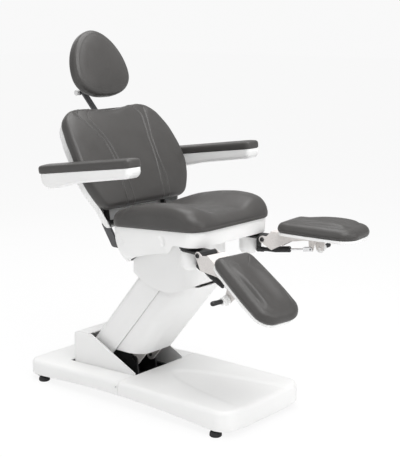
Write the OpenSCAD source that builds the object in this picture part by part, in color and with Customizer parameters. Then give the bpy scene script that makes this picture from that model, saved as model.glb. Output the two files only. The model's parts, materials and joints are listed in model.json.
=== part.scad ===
// Podiatry chair: parallelogram lift column, tilting seat, reclining back with
// swing-up armrests, sliding headrest and two separate gas-spring leg rests.
// The sitter faces +X, +Y is the sitter's left, +Z is up, the floor is z = 0.

/* [Base] */
// Length of the base housing
base_l = 1178; // [1120:1:1230]
// Width of the base housing
base_w = 524; // [480:1:560]
// Place of the base housing's rear end along X
base_rear_x = -742; // [-780:1:-720]
// Height of the housing's top from the seam forward
base_top_z = 110; // [104:1:118]
// Height of the housing's top at its rear end
base_rear_top_z = 88; // [82:1:96]
// Height of the housing's lower edge over the feet
base_edge_z = 27; // [22:1:32]
// Rise of the arched lower edge half way along
base_arch = 22; // [0:1:30]
// Wall of the moulded base housing
base_wall = 4; // [3:0.5:6]
// Rounding of the housing's upper edges
base_round = 20; // [12:1:28]
// Radius of the housing's corners in plan
base_corner_r = 70; // [40:1:100]
// Place of the seam between rear and front housing
seam_x = -155; // [-170:1:-140]
// Gap along the seam
seam_gap = 1.2; // [0.5:0.1:3]
// Depth of the dished foot area in the front housing
dish_d = 6; // [0:0.5:10]
// Half width of the dish at its wide front end
dish_w = 175; // [120:1:200]

/* [Feet and rollers] */
// Distance between front and rear levelling feet
foot_base = 1008; // [940:1:1040]
// Distance between right and left levelling feet
foot_track = 486; // [440:1:486]
// Place of the front feet along X
foot_front_x = 366; // [340:1:380]
// Diameter of a levelling foot
foot_d = 50; // [40:1:60]
// Height of a foot's black pad
foot_h = 22; // [16:1:24]
// Diameter of a foot's threaded stem
foot_stem_d = 12; // [8:1:16]
// Diameter of a transport roller
roller_d = 40; // [30:1:44]
// Width of a transport roller
roller_w = 24; // [16:1:32]
// Clearance of the rollers above the floor
roller_lift = 3; // [1:0.5:6]
// Place of the roller axle behind the rear feet
roller_back = 62; // [50:1:70]
// Distance between the rollers
roller_track = 420; // [380:1:440]

/* [Steel sections] */
// Height of the base frame's steel tubes
tube_h = 30; // [24:1:36]
// Width of the base frame's steel tubes
tube_w = 46; // [36:1:56]
// Wall of the steel tubes
tube_wall = 3; // [2:0.5:4]
// Distance between the base frame's long rails
rail_track = 320; // [300:1:350]
// Thickness of pivot plates and flat bars
plate_t = 8; // [6:1:10]
// Radial clearance of the running pins
pin_gap = 0.05; // [0.02:0.01:0.1]
// Clearance between neighbouring plates on one pin
side_gap = 1; // [0.5:0.1:2]
// Gap between soft pieces and what carries them
soft_gap = 0.3; // [0.2:0.05:0.5]

/* [Lift column] */
// Length of the lift arms between their pivots
arm_l = 568; // [540:1:600]
// Angle of the lift arms above the floor as photographed
arm_a = 50; // [46:1:54]
// Place of the rear arm's lower pivot along X
pivot_x = -400; // [-410:1:-390]
// Height of the rear arm's lower pivot
pivot_z = 165; // [160:1:172]
// Front link's pivots ahead of the rear arm's pivots
link_x = 150; // [140:1:160]
// Front link's pivots below the rear arm's pivots
link_drop = 30; // [20:1:36]
// Width of the rear column cover
column_w = 256; // [240:1:262]
// Depth of the rear column cover from back to seam
rear_cover_d = 124; // [110:1:130]
// Front face of the front cover ahead of the link's pivot line
front_cover_d = 40; // [36:1:44]
// Depth of the front column cover
front_cover_len = 140; // [134:1:150]
// Wall of the column covers
cover_wall = 3.5; // [2.5:0.5:5]
// Radius of the rear cover's upright corners
rear_cover_r = 26; // [12:1:36]
// Radius of the front cover's upright corners
front_cover_r = 62; // [40:1:80]
// Width of the lift arms' flat bars
bar_w = 48; // [36:1:52]
// Distance between the lift arms' flat bars, outside
bar_track = 108; // [96:1:116]
// Diameter of the lift pins
lift_pin_d = 20; // [16:1:24]
// Length of the crank below the rear arm's pivot
crank_r = 95; // [90:1:98]
// Crank angle from straight down at the photographed pose
crank_a = 8; // [6:1:10]

/* [Pedestal shroud] */
// Width of the pedestal shroud
shroud_w = 316; // [300:1:330]
// Top height of the shroud
shroud_top_z = 242; // [236:1:250]
// Rear face of the shroud at its top
shroud_rear_x = -540; // [-560:1:-520]
// Lean of the shroud's rear face towards its foot
shroud_lean = 14; // [0:1:30]
// Front end of the roof over the rear of the column
shroud_roof_x = -440; // [-460:1:-436]
// Height of the cheeks at the seam
shroud_front_z = 119; // [114:1:130]
// Radius of the shroud's rear upper edge
shroud_round = 44; // [20:1:60]
// Wall of the shroud
shroud_wall = 5; // [4:0.5:8]

/* [Lift head] */
// Width of the head cover
head_w = 276; // [270:1:284]
// Front face of the head cover
head_front_x = 150; // [144:1:156]
// Rear end of the head cover's cheeks
head_rear_x = -172; // [-184:1:-160]
// Lowest edge of the head cover
head_low_z = 505; // [495:1:515]
// Front edge height of the head cover
head_front_low_z = 552; // [540:1:560]
// Radius of the head cover's front corners
head_r = 84; // [60:1:110]
// Wall of the head cover
head_wall = 4; // [3:0.5:6]
// Place of the seat's tilt pivot along X
tilt_x = -120; // [-130:1:-110]
// Height of the seat's tilt pivot
tilt_z = 700; // [694:1:706]
// Place of the tilt actuator ahead of the tilt pivot
tilt_reach = 170; // [160:1:180]

/* [Seat] */
// Tilt of the seat, front up, as photographed
seat_a = 3.5; // [0:0.5:6]
// Width of the seat cushion
seat_w = 520; // [490:1:545]
// Length of the seat cushion
seat_l = 484; // [450:1:500]
// Rear end of the seat cushion's lower edge
seat_rear_x = -206; // [-212:1:-200]
// Height of the seat cushion's lower edge at its rear end
seat_z = 777; // [770:1:784]
// Side height of the seat cushion
seat_side_h = 60; // [50:1:66]
// Height of the seat's side bolsters above its middle
seat_bolster = 46; // [15:1:50]
// Wall of the seat shell
shell_wall = 4; // [3:0.5:6]
// Height of the shell's lower edge at its rear end
shell_rear_z = 602; // [598:1:612]
// Height of the shell's lower edge at its front
shell_front_z = 742; // [742:1:745]
// Width of the shell's lower mouth round the head cover
mouth_w = 300; // [292:1:310]

/* [Backrest] */
// Place of the recline pivot along X
back_pivot_x = -280; // [-286:1:-276]
// Height of the recline pivot
back_pivot_z = 770; // [766:1:774]
// Distance between the recline hinges, outside
hinge_track = 400; // [380:1:410]
// Lower front edge of the back cushion along X
back_x = -205; // [-210:1:-196]
// Lower front edge of the back cushion's height
back_z = 846; // [842:1:856]
// Length of the back cushion along its curve
back_l = 480; // [440:1:500]
// Radius of the back's curve
back_bend_r = 860; // [780:1:1000]
// Lean of the back cushion's lower end from upright
back_a = 16; // [10:1:22]
// Greatest width of the back cushion
back_w = 636; // [600:1:650]
// Width of the back cushion's lower end
back_low_w = 504; // [460:1:520]
// Width of the back cushion across the shoulders
back_top_w = 530; // [480:1:560]
// Side thickness of the back cushion
back_side_h = 50; // [44:1:54]
// Crown of the back cushion
back_crown = 10; // [4:1:16]
// Dip in the middle of the back cushion's top edge
back_dip = 22; // [0:1:30]
// Depth of the back shell behind the cushion
back_shell_d = 58; // [48:1:66]
// Height of the sewn welts
welt_h = 4; // [2:0.5:6]
// Width of a sewn welt
welt_w = 14; // [8:1:20]

/* [Headrest] */
// Height of the headrest cushion
head_l = 300; // [270:1:320]
// Greatest width of the headrest cushion
head_cushion_w = 318; // [290:1:340]
// Thickness of the headrest cushion at its edge
head_t = 54; // [44:1:64]
// Crown of the headrest cushion
head_crown = 20; // [10:1:26]
// Lean of the headrest from upright
head_a = 21; // [14:1:28]
// Lower end of the headrest's front along X
head_x = -425; // [-436:1:-415]
// Lower end of the headrest's height
head_z = 1296; // [1290:1:1310]
// Width of the headrest's flat bar
head_bar_w = 30; // [24:1:40]
// Thickness of the headrest's flat bar
head_bar_t = 8; // [6:1:10]
// Length of the headrest's flat bar
head_bar_l = 290; // [280:1:300]
// Lean of the bar and its guide from upright
head_bar_a = 43; // [42:0.5:44]
// Place of the headrest's tilt hinge along X
head_hinge_x = -598; // [-602:1:-594]
// Height of the headrest's tilt hinge
head_hinge_z = 1297; // [1292:1:1302]

/* [Armrests] */
// Length of an arm pad
pad_l = 530; // [500:1:560]
// Width of an arm pad
pad_w = 84; // [70:1:90]
// Thickness of an arm pad
pad_t = 38; // [30:1:44]
// Overall width across both armrests
arms_w = 842; // [830:1:860]
// Rear end of the arm pad's underside along X
pad_rear_x = -448; // [-454:1:-440]
// Height of the arm pad's underside at its rear end
pad_rear_z = 990; // [984:1:996]
// Rise of the armrest towards its front
pad_a = 8; // [6:0.5:10]
// Depth of the arm body at its rear end
arm_rear_d = 66; // [60:1:70]
// Depth of the arm body at its front end
arm_front_d = 42; // [36:1:46]
// Diameter of the arm pivot's boss
arm_boss_d = 46; // [36:1:50]

/* [Leg rests] */
// Distance of the swivel posts from the middle
post_y = 190; // [184:1:196]
// Place of the swivel posts along X
post_x = 191; // [186:1:196]
// Distance from the swivel post to the knee hinge
knee_x = 95; // [92:1:100]
// Height of the knee hinge
knee_z = 722; // [720:1:724]
// Right leg rest's swing outwards as photographed
right_swing = 7.5; // [0:0.5:14]
// Left leg rest's swing outwards as photographed
left_swing = 6; // [0:0.5:14]
// Right leg rest's drop below level as photographed
right_drop = 33; // [10:1:50]
// Left leg rest's drop below level as photographed
left_drop = 0; // [0:1:40]
// Length of a leg cushion
leg_l = 350; // [330:1:370]
// Width of a leg cushion at the knee
leg_knee_w = 190; // [170:1:196]
// Greatest width of a leg cushion
leg_w = 216; // [190:1:220]
// Side height of a leg cushion
leg_h = 44; // [36:1:50]
// Height of a leg cushion's side bolsters above its trough
leg_bolster = 16; // [8:1:22]
// Distance from the knee hinge to the leg cushion
leg_start = 94; // [90:1:110]
// Leg cushion's shift towards the middle
leg_shift = 14; // [0:1:20]
// Height of the tray above the knee hinge
tray_z = 39; // [38:0.5:42]
// Thickness of the leg tray
tray_t = 12; // [8:1:14]
// Width between the leg bracket's side flanges
flange_w = 98; // [90:1:104]
// Thickness of the leg bracket's steel
flange_t = 4; // [3:0.5:5]
// Diameter of the swivel cup
cup_d = 80; // [70:1:84]
// Height of the swivel cup
cup_h = 80; // [70:1:84]
// Diameter of the gas spring's tube
gas_tube_d = 17; // [14:1:18]
// Diameter of the gas spring's boot
gas_boot_d = 25; // [20:1:26]
// Length of the gas spring's tube
gas_tube_l = 146; // [142:1:148]
// Diameter of the gas spring's rod
gas_rod_d = 8; // [6:1:10]
// Gas spring's rod joint beyond the knee hinge
gas_joint_x = 205; // [195:1:210]
// Gas spring's rod joint below the knee hinge
gas_joint_z = -25; // [-28:1:-22]
// Gas spring's tube joint behind the knee hinge
gas_foot_x = -43; // [-44:0.5:-42]
// Gas spring's tube joint below the knee hinge
gas_foot_z = -56; // [-58:1:-52]

/* [Hidden] */
$fn = 48;
// Cuts run past the solids that they open
overrun = 1;

upholstery = [0.35, 0.34, 0.33];
white = [0.94, 0.94, 0.93];
black = [0.12, 0.12, 0.12];
grey = [0.36, 0.37, 0.38];
chrome = [0.8, 0.81, 0.83];
cream = [0.86, 0.85, 0.83];

// Counts of steps: round corners of lofted sections, dish grid, rows of lofts
arc_steps = 4;
dish_steps = 22;
cover_rows = 15;
soft_rows = 20;
pin_fn = 32;

// Derived places of the base
base_front_x = base_rear_x + base_l;
tube_z = base_edge_z + base_wall + tube_wall;
tube_top = tube_z + tube_h;
foot_rear_x = foot_front_x - foot_base;
roller_x = foot_rear_x - roller_back;

// Derived places of the lift column, along the arms as photographed
rear_face = rear_cover_d / 2;
link_pivot_x = pivot_x + link_x;
link_pivot_z = pivot_z - link_drop;
link_off = link_x * sin(arm_a) + link_drop * cos(arm_a);
link_ahead = link_x * cos(arm_a) - link_drop * sin(arm_a);
head_pivot_x = pivot_x + arm_l * cos(arm_a);
head_pivot_z = pivot_z + arm_l * sin(arm_a);
bar_out = bar_track / 2;
plate_in = bar_out + side_gap;
plate_out = plate_in + plate_t;
cover_side_gap = 3.5;
lift_pin_r = lift_pin_d / 2;
boss_r = lift_pin_r + plate_t;

function between(a, b, u) = a + (b - a) * u;
function middle(ring) = [for (k = [0 : 2]) sum(ring, k) / len(ring)];
function sum(ring, k, i = 0) = i < len(ring) ? ring[i][k] + sum(ring, k, i + 1) : 0;
// Rows from 0 to 1, closer together near both ends
function row_shares(n) = [for (i = [0 : n]) (1 - cos(180 * i / n)) / 2];
// How far a rounded end of radius r has drawn in at a distance d from it
function drawn_in(d, r) = d >= r ? 0 : r - sqrt(r * r - (r - d) * (r - d));

// Side triangles between matching rings of n points
function skin(n, rings, closed = false) = [
  for (i = [0 : closed ? rings - 1 : rings - 2], j = [0 : n - 1])
    let (a = i * n + j, b = i * n + (j + 1) % n,
      c = ((i + 1) % rings) * n + j, d = ((i + 1) % rings) * n + (j + 1) % n)
    each [[a, c, d], [a, d, b]]];

// Solid through rings of points, each end closed by a fan round its middle
module loft(rings) {
  n = len(rings[0]);
  m = len(rings);
  polyhedron(points = concat([for (r = rings) each r], [middle(rings[0]), middle(rings[m - 1])]),
    faces = concat(skin(n, m),
      [for (j = [0 : n - 1]) [n * m, j, (j + 1) % n]],
      [for (j = [0 : n - 1]) [n * m + 1, (m - 1) * n + (j + 1) % n, (m - 1) * n + j]]));
}

// Trough through sections whose second half runs back along the inside
module trough(rings) {
  n = len(rings[0]);
  m = len(rings);
  e = (m - 1) * n;
  polyhedron(points = [for (r = rings) each r],
    faces = concat(skin(n, m),
      [for (j = [0 : n / 2 - 2])
        each [[j, j + 1, n - 2 - j], [j, n - 2 - j, n - 1 - j]]],
      [for (j = [0 : n / 2 - 2])
        each [[e + j, e + n - 2 - j, e + j + 1], [e + j, e + n - 1 - j, e + n - 2 - j]]]));
}

// Wall through loops that run up the outside and back down the inside
module wall_ring(loops) {
  polyhedron(points = [for (r = loops) each r],
    faces = skin(len(loops[0]), len(loops), closed = true));
}

function reversed(list) = [for (i = [len(list) - 1 : -1 : 0]) list[i]];

// Quarter circle round a centre, from angle a on
function quarter(cx, cy, r, a, n = arc_steps) = [
  for (k = [0 : n]) [cx + r * cos(a + 90 * k / n), cy + r * sin(a + 90 * k / n)]];

// Rounded outline seen from above, with its own radii at front and rear
function plan_loop(x0, x1, w, r0, r1) = concat(
  quarter(x1 - r1, r1 - w / 2, r1, -90),
  quarter(x1 - r1, w / 2 - r1, r1, 0),
  quarter(x0 + r0, w / 2 - r0, r0, 90),
  quarter(x0 + r0, r0 - w / 2, r0, 180));

// Cushion section: drawn-in lower edge, full side, round shoulder and free top
function pillow(w, h, r, inset, tops) = let (
  right = concat([[w - inset, 0], [w, h * side_share]], quarter(w - r, h - r, r, 0)))
  concat(right, tops, [for (p = reversed(right)) [-p[0], p[1]]]);
side_share = 0.4;

// Solid plate standing in the XZ plane, y0 to y1
module standing(y0, y1) {
  translate([0, y1, 0]) rotate([90, 0, 0]) linear_extrude(y1 - y0) children();
}

module across(x, z, r, y0, y1, fn = pin_fn) {
  translate([x, y1, z]) rotate([90, 0, 0]) cylinder(r = r, h = y1 - y0, $fn = fn);
}

module both_sides() {
  children();
  mirror([0, 1, 0]) children();
}

module box(x0, x1, y0, y1, z0, z1) {
  translate([x0, y0, z0]) cube([x1 - x0, y1 - y0, z1 - z0]);
}

// Flat bar between two points of the XZ plane, with round ends
module link_outline(x0, z0, r0, x1, z1, r1) {
  a = atan2(z1 - z0, x1 - x0);
  l = norm([x1 - x0, z1 - z0]);
  translate([x0, z0]) circle(r0, $fn = pin_fn);
  translate([x1, z1]) circle(r1, $fn = pin_fn);
  translate([x0, z0]) rotate(a) polygon([[0, -r0], [l, -r1], [l, r1], [0, r0]]);
}

// Places along the lift arms: +X runs up the arm, +Z out of its rear face
module on_arm(x, z) {
  translate([x, 0, z]) rotate([0, -arm_a, 0]) children();
}

// Housing of the base

function base_bottom(x) = let (u = (x - foot_rear_x) / foot_base)
  base_edge_z + (u > 0 && u < 1 ? base_arch * sin(180 * u) : 0);
function base_top(x) = x > seam_x ? base_top_z
  : between(base_rear_top_z, base_top_z, (x - base_rear_x) / (seam_x - base_rear_x));
function end_gap(x) = min(x - base_rear_x, base_front_x - x);
function dish_half(x) = let (u = (x - seam_x - dish_start) / (base_front_x - seam_x - dish_start))
  u <= 0 ? 0 : dish_w * min(1, pow(u, dish_power_share));
dish_start = 88;
dish_edge = 34;
dish_power_share = 0.42;
function dish(x, y) = let (d = dish_half(x) - abs(y))
  d <= 0 ? 0 : dish_d * min(1, d / dish_edge);

function housing_path(x, w, zb, zt, r, steps) = concat(
  [[x, w, zb]],
  [for (p = quarter(w - r, zt - r, r, 0)) [x, p[0], p[1]]],
  steps < 2 ? [] : [for (k = [1 : steps - 1]) let (y = (w - r) * (1 - 2 * k / steps))
    [x, y, zt - dish(x, y)]],
  [for (p = quarter(r - w, zt - r, r, 90)) [x, p[0], p[1]]],
  [[x, -w, zb]]);

// Rows [outer x, inner x, full depth] that close a moulding's end with a wall
function end_rows(x, dir, wall) = [[x, x, 0], [x + dir * wall / 8, x + dir * wall * 7 / 8, 0],
  [x + dir * wall / 4, x + dir * wall, 1]];
function housing_w(gap) = base_w / 2 - drawn_in(max(0, gap), base_corner_r);
function housing_section(row, steps) = let (
  x = row[0],
  xi = row[1],
  zb = base_bottom(x),
  zt = base_top(x) - drawn_in(end_gap(x), base_round),
  zi = row[2] == 0 ? zb + skirt
    : base_top(xi) - drawn_in(max(0, end_gap(xi) - base_wall), base_round) - base_wall)
  concat(housing_path(x, housing_w(end_gap(x)), zb, zt, min(base_round, (zt - zb) * corner_share),
      steps),
    reversed(housing_path(xi, housing_w(end_gap(xi) - base_wall) - base_wall, zb, zi,
      min(base_round, (zi - zb) * corner_share), steps)));
skirt = 1.5;
corner_share = 0.8;

// Roller and stem openings are cut by the parts that pass through them
module base_rear_cover() color(white) difference() {
  trough([for (row = concat(end_rows(base_rear_x, 1, base_wall), [for (u = row_shares(cover_rows))
    let (x = between(base_rear_x, seam_x - seam_gap, u)) if (x > base_rear_x + base_wall)
    [x, x, 1]])) housing_section(row, 1)]);
  box(shroud_foot_x - seam_gap, seam_x + overrun, -shroud_w / 2 - seam_gap,
    shroud_w / 2 + seam_gap, tube_z, base_top_z + overrun);
  box(base_rear_x - overrun, base_rear_x + base_round, -inlet_w / 2 - seam_gap,
    inlet_w / 2 + seam_gap, tube_z - seam_gap, tube_z + inlet_h + seam_gap);
}

module base_front_cover() color(white) trough([for (row = concat(
  [for (u = row_shares(cover_rows)) let (x = between(seam_x, base_front_x, u))
    if (x < base_front_x - base_wall) [x, x, 1]],
  reversed(end_rows(base_front_x, -1, base_wall)))) housing_section(row, dish_steps)]);

module steel_tube(x0, x1, y0, y1, z0) {
  difference() {
    box(x0, x1, y0, y1, z0, z0 + tube_h);
    if (x1 - x0 > y1 - y0)
      box(x0 - overrun, x1 + overrun, y0 + tube_wall, y1 - tube_wall,
        z0 + tube_wall, z0 + tube_h - tube_wall);
    else
      box(x0 + tube_wall, x1 - tube_wall, y0 - overrun, y1 + overrun,
        z0 + tube_wall, z0 + tube_h - tube_wall);
  }
}

cross_half = foot_track / 2;
rail_in = (rail_track - tube_w) / 2;
rail_out = (rail_track + tube_w) / 2;
// Ladder frame of square tubes with a nut boss over each foot
module base_frame() color(black) {
  difference() {
    union() {
      for (x = [foot_rear_x, foot_front_x]) {
        steel_tube(x - tube_w / 2, x + tube_w / 2, -cross_half, cross_half, tube_z);
        for (s = [-1, 1]) translate([x, s * foot_track / 2, tube_z])
          cylinder(d = foot_stem_d * 2, h = tube_h);
      }
      both_sides() steel_tube(foot_rear_x + tube_w / 2, foot_front_x - tube_w / 2,
        rail_in, rail_out, tube_z);
      box(bracket_x0, bracket_x1, -rail_in, rail_in, tube_z, tube_z + plate_t);
      for (x = [foot_rear_x, foot_front_x]) both_sides()
        box(x - plate_t, x + plate_t, foot_track / 2 - 2 * tube_w / 2 - plate_t,
          foot_track / 2 - tube_w + plate_t, tube_top,
          base_top(x - plate_t) - base_wall - soft_gap);
      both_sides() box(roller_x - plate_t, foot_rear_x - tube_w / 2,
        roller_track / 2 - roller_w / 2 - side_gap - plate_t,
        roller_track / 2 - roller_w / 2 - side_gap, roller_axle_z - plate_t, tube_top);
    }
    for (x = [foot_rear_x, foot_front_x], s = [-1, 1])
      translate([x, s * foot_track / 2, tube_z - overrun])
        cylinder(r = foot_stem_d / 2 + pin_gap, h = tube_h + 2 * overrun);
    across(roller_x, roller_axle_z, plate_t / 2, -base_w / 2, base_w / 2);
  }
}
roller_axle_z = roller_lift + roller_d / 2;
bracket_x0 = pivot_x - 2.5 * lift_pin_d;
bracket_x1 = link_pivot_x + 1.5 * lift_pin_d;

module roller_axle() color(chrome)
  across(roller_x, roller_axle_z, plate_t / 2, -roller_track / 2 - roller_w / 2 - side_gap,
    roller_track / 2 + roller_w / 2 + side_gap);

module roller(side) color(black) difference() {
  across(roller_x, roller_axle_z, roller_d / 2, side * roller_track / 2 - roller_w / 2,
    side * roller_track / 2 + roller_w / 2, 48);
  across(roller_x, roller_axle_z, plate_t / 2 + pin_gap, side * roller_track / 2 - roller_w,
    side * roller_track / 2 + roller_w);
}
module roller_right() roller(-1);
module roller_left() roller(1);

// Levelling foot: round pad with a waist and a threaded stem
module foot(x, side) color(black) translate([x, side * foot_track / 2, 0]) {
  rotate_extrude($fn = 48) polygon([[0, 0], [foot_d / 2 - foot_lip, 0],
    [foot_d / 2, foot_lip], [foot_d / 2, foot_h / 2], [foot_d / 2 - foot_lip, foot_h - foot_lip],
    [foot_stem_d, foot_h], [0, foot_h]]);
  cylinder(d = foot_stem_d, h = tube_top);
}
foot_lip = 3;
module foot_front_right() foot(foot_front_x, -1);
module foot_front_left() foot(foot_front_x, 1);
module foot_rear_right() foot(foot_rear_x, -1);
module foot_rear_left() foot(foot_rear_x, 1);

// Shroud round the column's foot

shroud_foot_x = shroud_rear_x - shroud_lean;
module shroud_side(inset) {
  r = shroud_round - inset;
  top = shroud_top_z - inset;
  rear = shroud_rear_x + inset;
  polygon(concat([[seam_x, tube_top], [seam_x, shroud_front_z - inset],
    [shroud_roof_x + shroud_round / 2, top]], quarter(rear + r, top - r, r, 90, 2 * arc_steps),
    [[shroud_foot_x + inset, tube_top]]));
}
module shroud_plan(inset) {
  r = shroud_round - inset;
  w = shroud_w / 2 - inset;
  x0 = shroud_foot_x + inset;
  union() {
    for (s = [-1, 1]) translate([x0 + r, s * (w - r)]) circle(r);
    translate([x0, r - w]) square([r, 2 * (w - r)]);
    translate([x0 + r, -w]) square([seam_x - x0 - r + (inset > 0 ? overrun : 0), 2 * w]);
  }
}
module pedestal_shroud() color(white) difference() {
  intersection() {
    standing(-shroud_w / 2 - overrun, shroud_w / 2 + overrun) shroud_side(0);
    translate([0, 0, tube_top]) linear_extrude(shroud_top_z) shroud_plan(0);
  }
  intersection() {
    standing(-shroud_w / 2, shroud_w / 2) union() {
      shroud_side(shroud_wall);
      translate([shroud_roof_x, tube_top - overrun])
        square([seam_x - shroud_roof_x + overrun, shroud_top_z]);
      translate([shroud_foot_x + shroud_wall, tube_top - overrun])
        square([seam_x - shroud_foot_x, 2 * overrun]);
    }
    translate([0, 0, tube_top - overrun]) linear_extrude(shroud_top_z) shroud_plan(shroud_wall);
  }
  box(shroud_foot_x - overrun, shroud_foot_x + shroud_round, -motor_r - side_gap,
    motor_r + side_gap, tube_top - overrun, crank_tip_z + motor_r + side_gap);
}

// Lift mechanism

module pivot_plate() {
  polygon([[bracket_x0, tube_z + plate_t], [bracket_x1, tube_z + plate_t],
    [link_pivot_x + boss_r, link_pivot_z], [link_pivot_x, link_pivot_z + boss_r],
    [pivot_x, pivot_z + boss_r], [pivot_x - boss_r, pivot_z]]);
  translate([pivot_x, pivot_z]) circle(boss_r);
  translate([link_pivot_x, link_pivot_z]) circle(boss_r);
}
// Two upright plates with the lower pins of the rear arm and the front link
module lift_pivot_bracket() color(black) {
  both_sides() {
    standing(plate_in, plate_out) pivot_plate();
    across(pivot_x, pivot_z, lift_pin_r, bar_out - plate_t - side_gap, plate_out + plate_t);
    across(link_pivot_x, link_pivot_z, lift_pin_r, bar_out - plate_t - side_gap,
      plate_out + plate_t);
  }
  box(bracket_x1 - lift_pin_d, bracket_x1, -plate_in, plate_in, tube_z + plate_t,
    tube_z + 2 * plate_t);
}

module lift_bar(x, z) {
  difference() {
    link_outline(x, z, bar_w / 2, x + arm_l * cos(arm_a), z + arm_l * sin(arm_a), bar_w / 2);
    translate([x, z]) circle(lift_pin_r + pin_gap, $fn = pin_fn);
    translate([x + arm_l * cos(arm_a), z + arm_l * sin(arm_a)])
      circle(lift_pin_r + pin_gap, $fn = pin_fn);
  }
}
crank_tip_x = pivot_x + crank_r * sin(crank_a);
crank_tip_z = pivot_z - crank_r * cos(crank_a);
crank_pin_r = 7;
spacer_r = 12;
bar_mid = bar_out - plate_t / 2;
spacer_share = [0.3, 0.72];
// Two flat bars with spacers, cover brackets and the crank that the motor pushes
module rear_lift_arm() color(cream) {
  both_sides() standing(bar_out - plate_t, bar_out) lift_bar(pivot_x, pivot_z);
  for (u = spacer_share) on_arm(pivot_x, pivot_z) {
    across(u * arm_l, 0, spacer_r, -bar_mid, bar_mid);
    both_sides() box(u * arm_l - spacer_r, u * arm_l + spacer_r, bar_mid - plate_t, bar_mid,
      0, rear_face - cover_wall);
  }
  crank_out = bar_out - plate_t;
  both_sides() standing(crank_out - plate_t, crank_out) difference() {
    link_outline(pivot_x, pivot_z, boss_r, crank_tip_x, crank_tip_z, crank_pin_r * 2);
    translate([pivot_x, pivot_z]) circle(lift_pin_r + side_gap);
  }
  across(crank_tip_x, crank_tip_z, crank_pin_r, plate_t - crank_out, crank_out - plate_t);
}

link_end_share = [0.3, 0.75];
module front_lift_link() color(cream) {
  both_sides() standing(bar_out - plate_t, bar_out) lift_bar(link_pivot_x, link_pivot_z);
  for (u = link_end_share) on_arm(link_pivot_x, link_pivot_z) {
    across(u * arm_l, 0, spacer_r, -bar_mid, bar_mid);
    both_sides() box(u * arm_l - spacer_r, u * arm_l + spacer_r, bar_mid - plate_t, bar_mid,
      cover_wall - front_cover_d, 0);
  }
}

// Upright U of a column cover: depth runs along +X, the closed side at x = 0
module cover_plan(depth, w, r, wall) {
  difference() {
    union() {
      for (s = [-1, 1]) translate([r, s * (w / 2 - r)]) circle(r);
      translate([0, r - w / 2]) square([r, w - 2 * r]);
      translate([r, -w / 2]) square([depth - r, w]);
    }
    for (s = [-1, 1]) translate([r, s * (w / 2 - r)]) circle(r - wall);
    translate([wall, r - w / 2]) square([depth, w - 2 * r]);
    translate([r, wall - w / 2]) square([depth, w - 2 * wall]);
  }
}
rear_cover_foot = 44;
rear_cover_head = 26;
notch_l = 74;
// Its back is notched at the top for the head's plates
module column_rear_cover() color(white) on_arm(pivot_x, pivot_z) difference() {
  translate([-rear_cover_foot, 0, rear_face]) rotate([0, 90, 0])
    linear_extrude(arm_l + rear_cover_foot + rear_cover_head)
      cover_plan(rear_cover_d, column_w, rear_cover_r, cover_wall);
  box(arm_l - notch_l, arm_l + rear_cover_head + overrun, -plate_out - 2 * plate_t,
    plate_out + 2 * plate_t, rear_face - cover_wall - overrun, rear_face + overrun);
}

front_cover_cut_z = 188;
front_cover_head = 17;
front_cover_w = column_w - 2 * (cover_wall + cover_side_gap);
// Cut level at its foot, and drawn back at the top so that it swings inside the head cover
module column_front_cover() color(white) difference() {
  on_arm(link_pivot_x, link_pivot_z)
    translate([-column_w / 2, 0, -front_cover_d]) mirror([0, 0, 1]) rotate([0, 90, 0])
      linear_extrude(column_w / 2 + arm_l - front_cover_head)
        cover_plan(front_cover_len, front_cover_w, front_cover_r, cover_wall);
  box(pivot_x - column_w, head_front_x, -column_w, column_w, -column_w, front_cover_cut_z);
}

yoke_h = 44;
yoke_t = 10;
rod_r = 8;
lift_travel = 54;
motor_r = 16;
motor_front = crank_tip_x - yoke_t - crank_pin_r - lift_travel;
motor_rear = foot_rear_x + tube_w;
module lift_motor() color(black) {
  translate([motor_rear, 0, crank_tip_z]) rotate([0, 90, 0]) difference() {
    cylinder(r = motor_r, h = motor_front - motor_rear, $fn = pin_fn);
    translate([0, 0, motor_l_share * (motor_front - motor_rear)])
      cylinder(r = rod_r + pin_gap, h = motor_front - motor_rear, $fn = pin_fn);
  }
  box(motor_rear, motor_rear + motor_r, -rail_in, rail_in, tube_z, tube_top);
  box(motor_rear, motor_rear + motor_r, -motor_r / 2, motor_r / 2, tube_top, crank_tip_z);
}
motor_l_share = 0.3;
// Rod with an upright slot that takes the crank's pin
module lift_rod() color(chrome) {
  x1 = crank_tip_x - crank_pin_r - yoke_gap - yoke_t;
  translate([motor_rear + (motor_l_share + rod_in_share) * (motor_front - motor_rear), 0,
    crank_tip_z]) rotate([0, 90, 0]) cylinder(r = rod_r, h = x1 - motor_rear
      - (motor_l_share + rod_in_share) * (motor_front - motor_rear), $fn = pin_fn);
  difference() {
    box(x1, crank_tip_x + crank_pin_r + yoke_gap + yoke_t, -yoke_t, yoke_t,
      crank_tip_z - yoke_h / 2, crank_tip_z + yoke_h / 2);
    box(crank_tip_x - crank_pin_r - yoke_gap, crank_tip_x + crank_pin_r + yoke_gap,
      -yoke_t - overrun, yoke_t + overrun, crank_tip_z - yoke_h / 2 + plate_t,
      crank_tip_z + yoke_h / 2 - plate_t);
  }
}
rod_in_share = 0.36;
yoke_gap = 2;

control_l = 140;
control_w = 120;
control_h = 44;
module control_box() color(black) box(foot_front_x - tube_w / 2 - control_l,
  foot_front_x - tube_w / 2, -control_w / 2, control_w / 2, tube_z, tube_z + control_h);
inlet_w = 52;
inlet_h = 32;
// Appliance inlet on the rear tube, reached through the housing's rear wall
module power_inlet() color(black) difference() {
  box(base_rear_x + base_wall, foot_rear_x - tube_w / 2, -inlet_w / 2, inlet_w / 2,
    tube_z, tube_z + inlet_h);
  box(base_rear_x, base_rear_x + inlet_h, plate_t - inlet_w / 2, inlet_w / 2 - plate_t,
    tube_z + plate_t, tube_z + inlet_h - plate_t);
}

// Lift head

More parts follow.
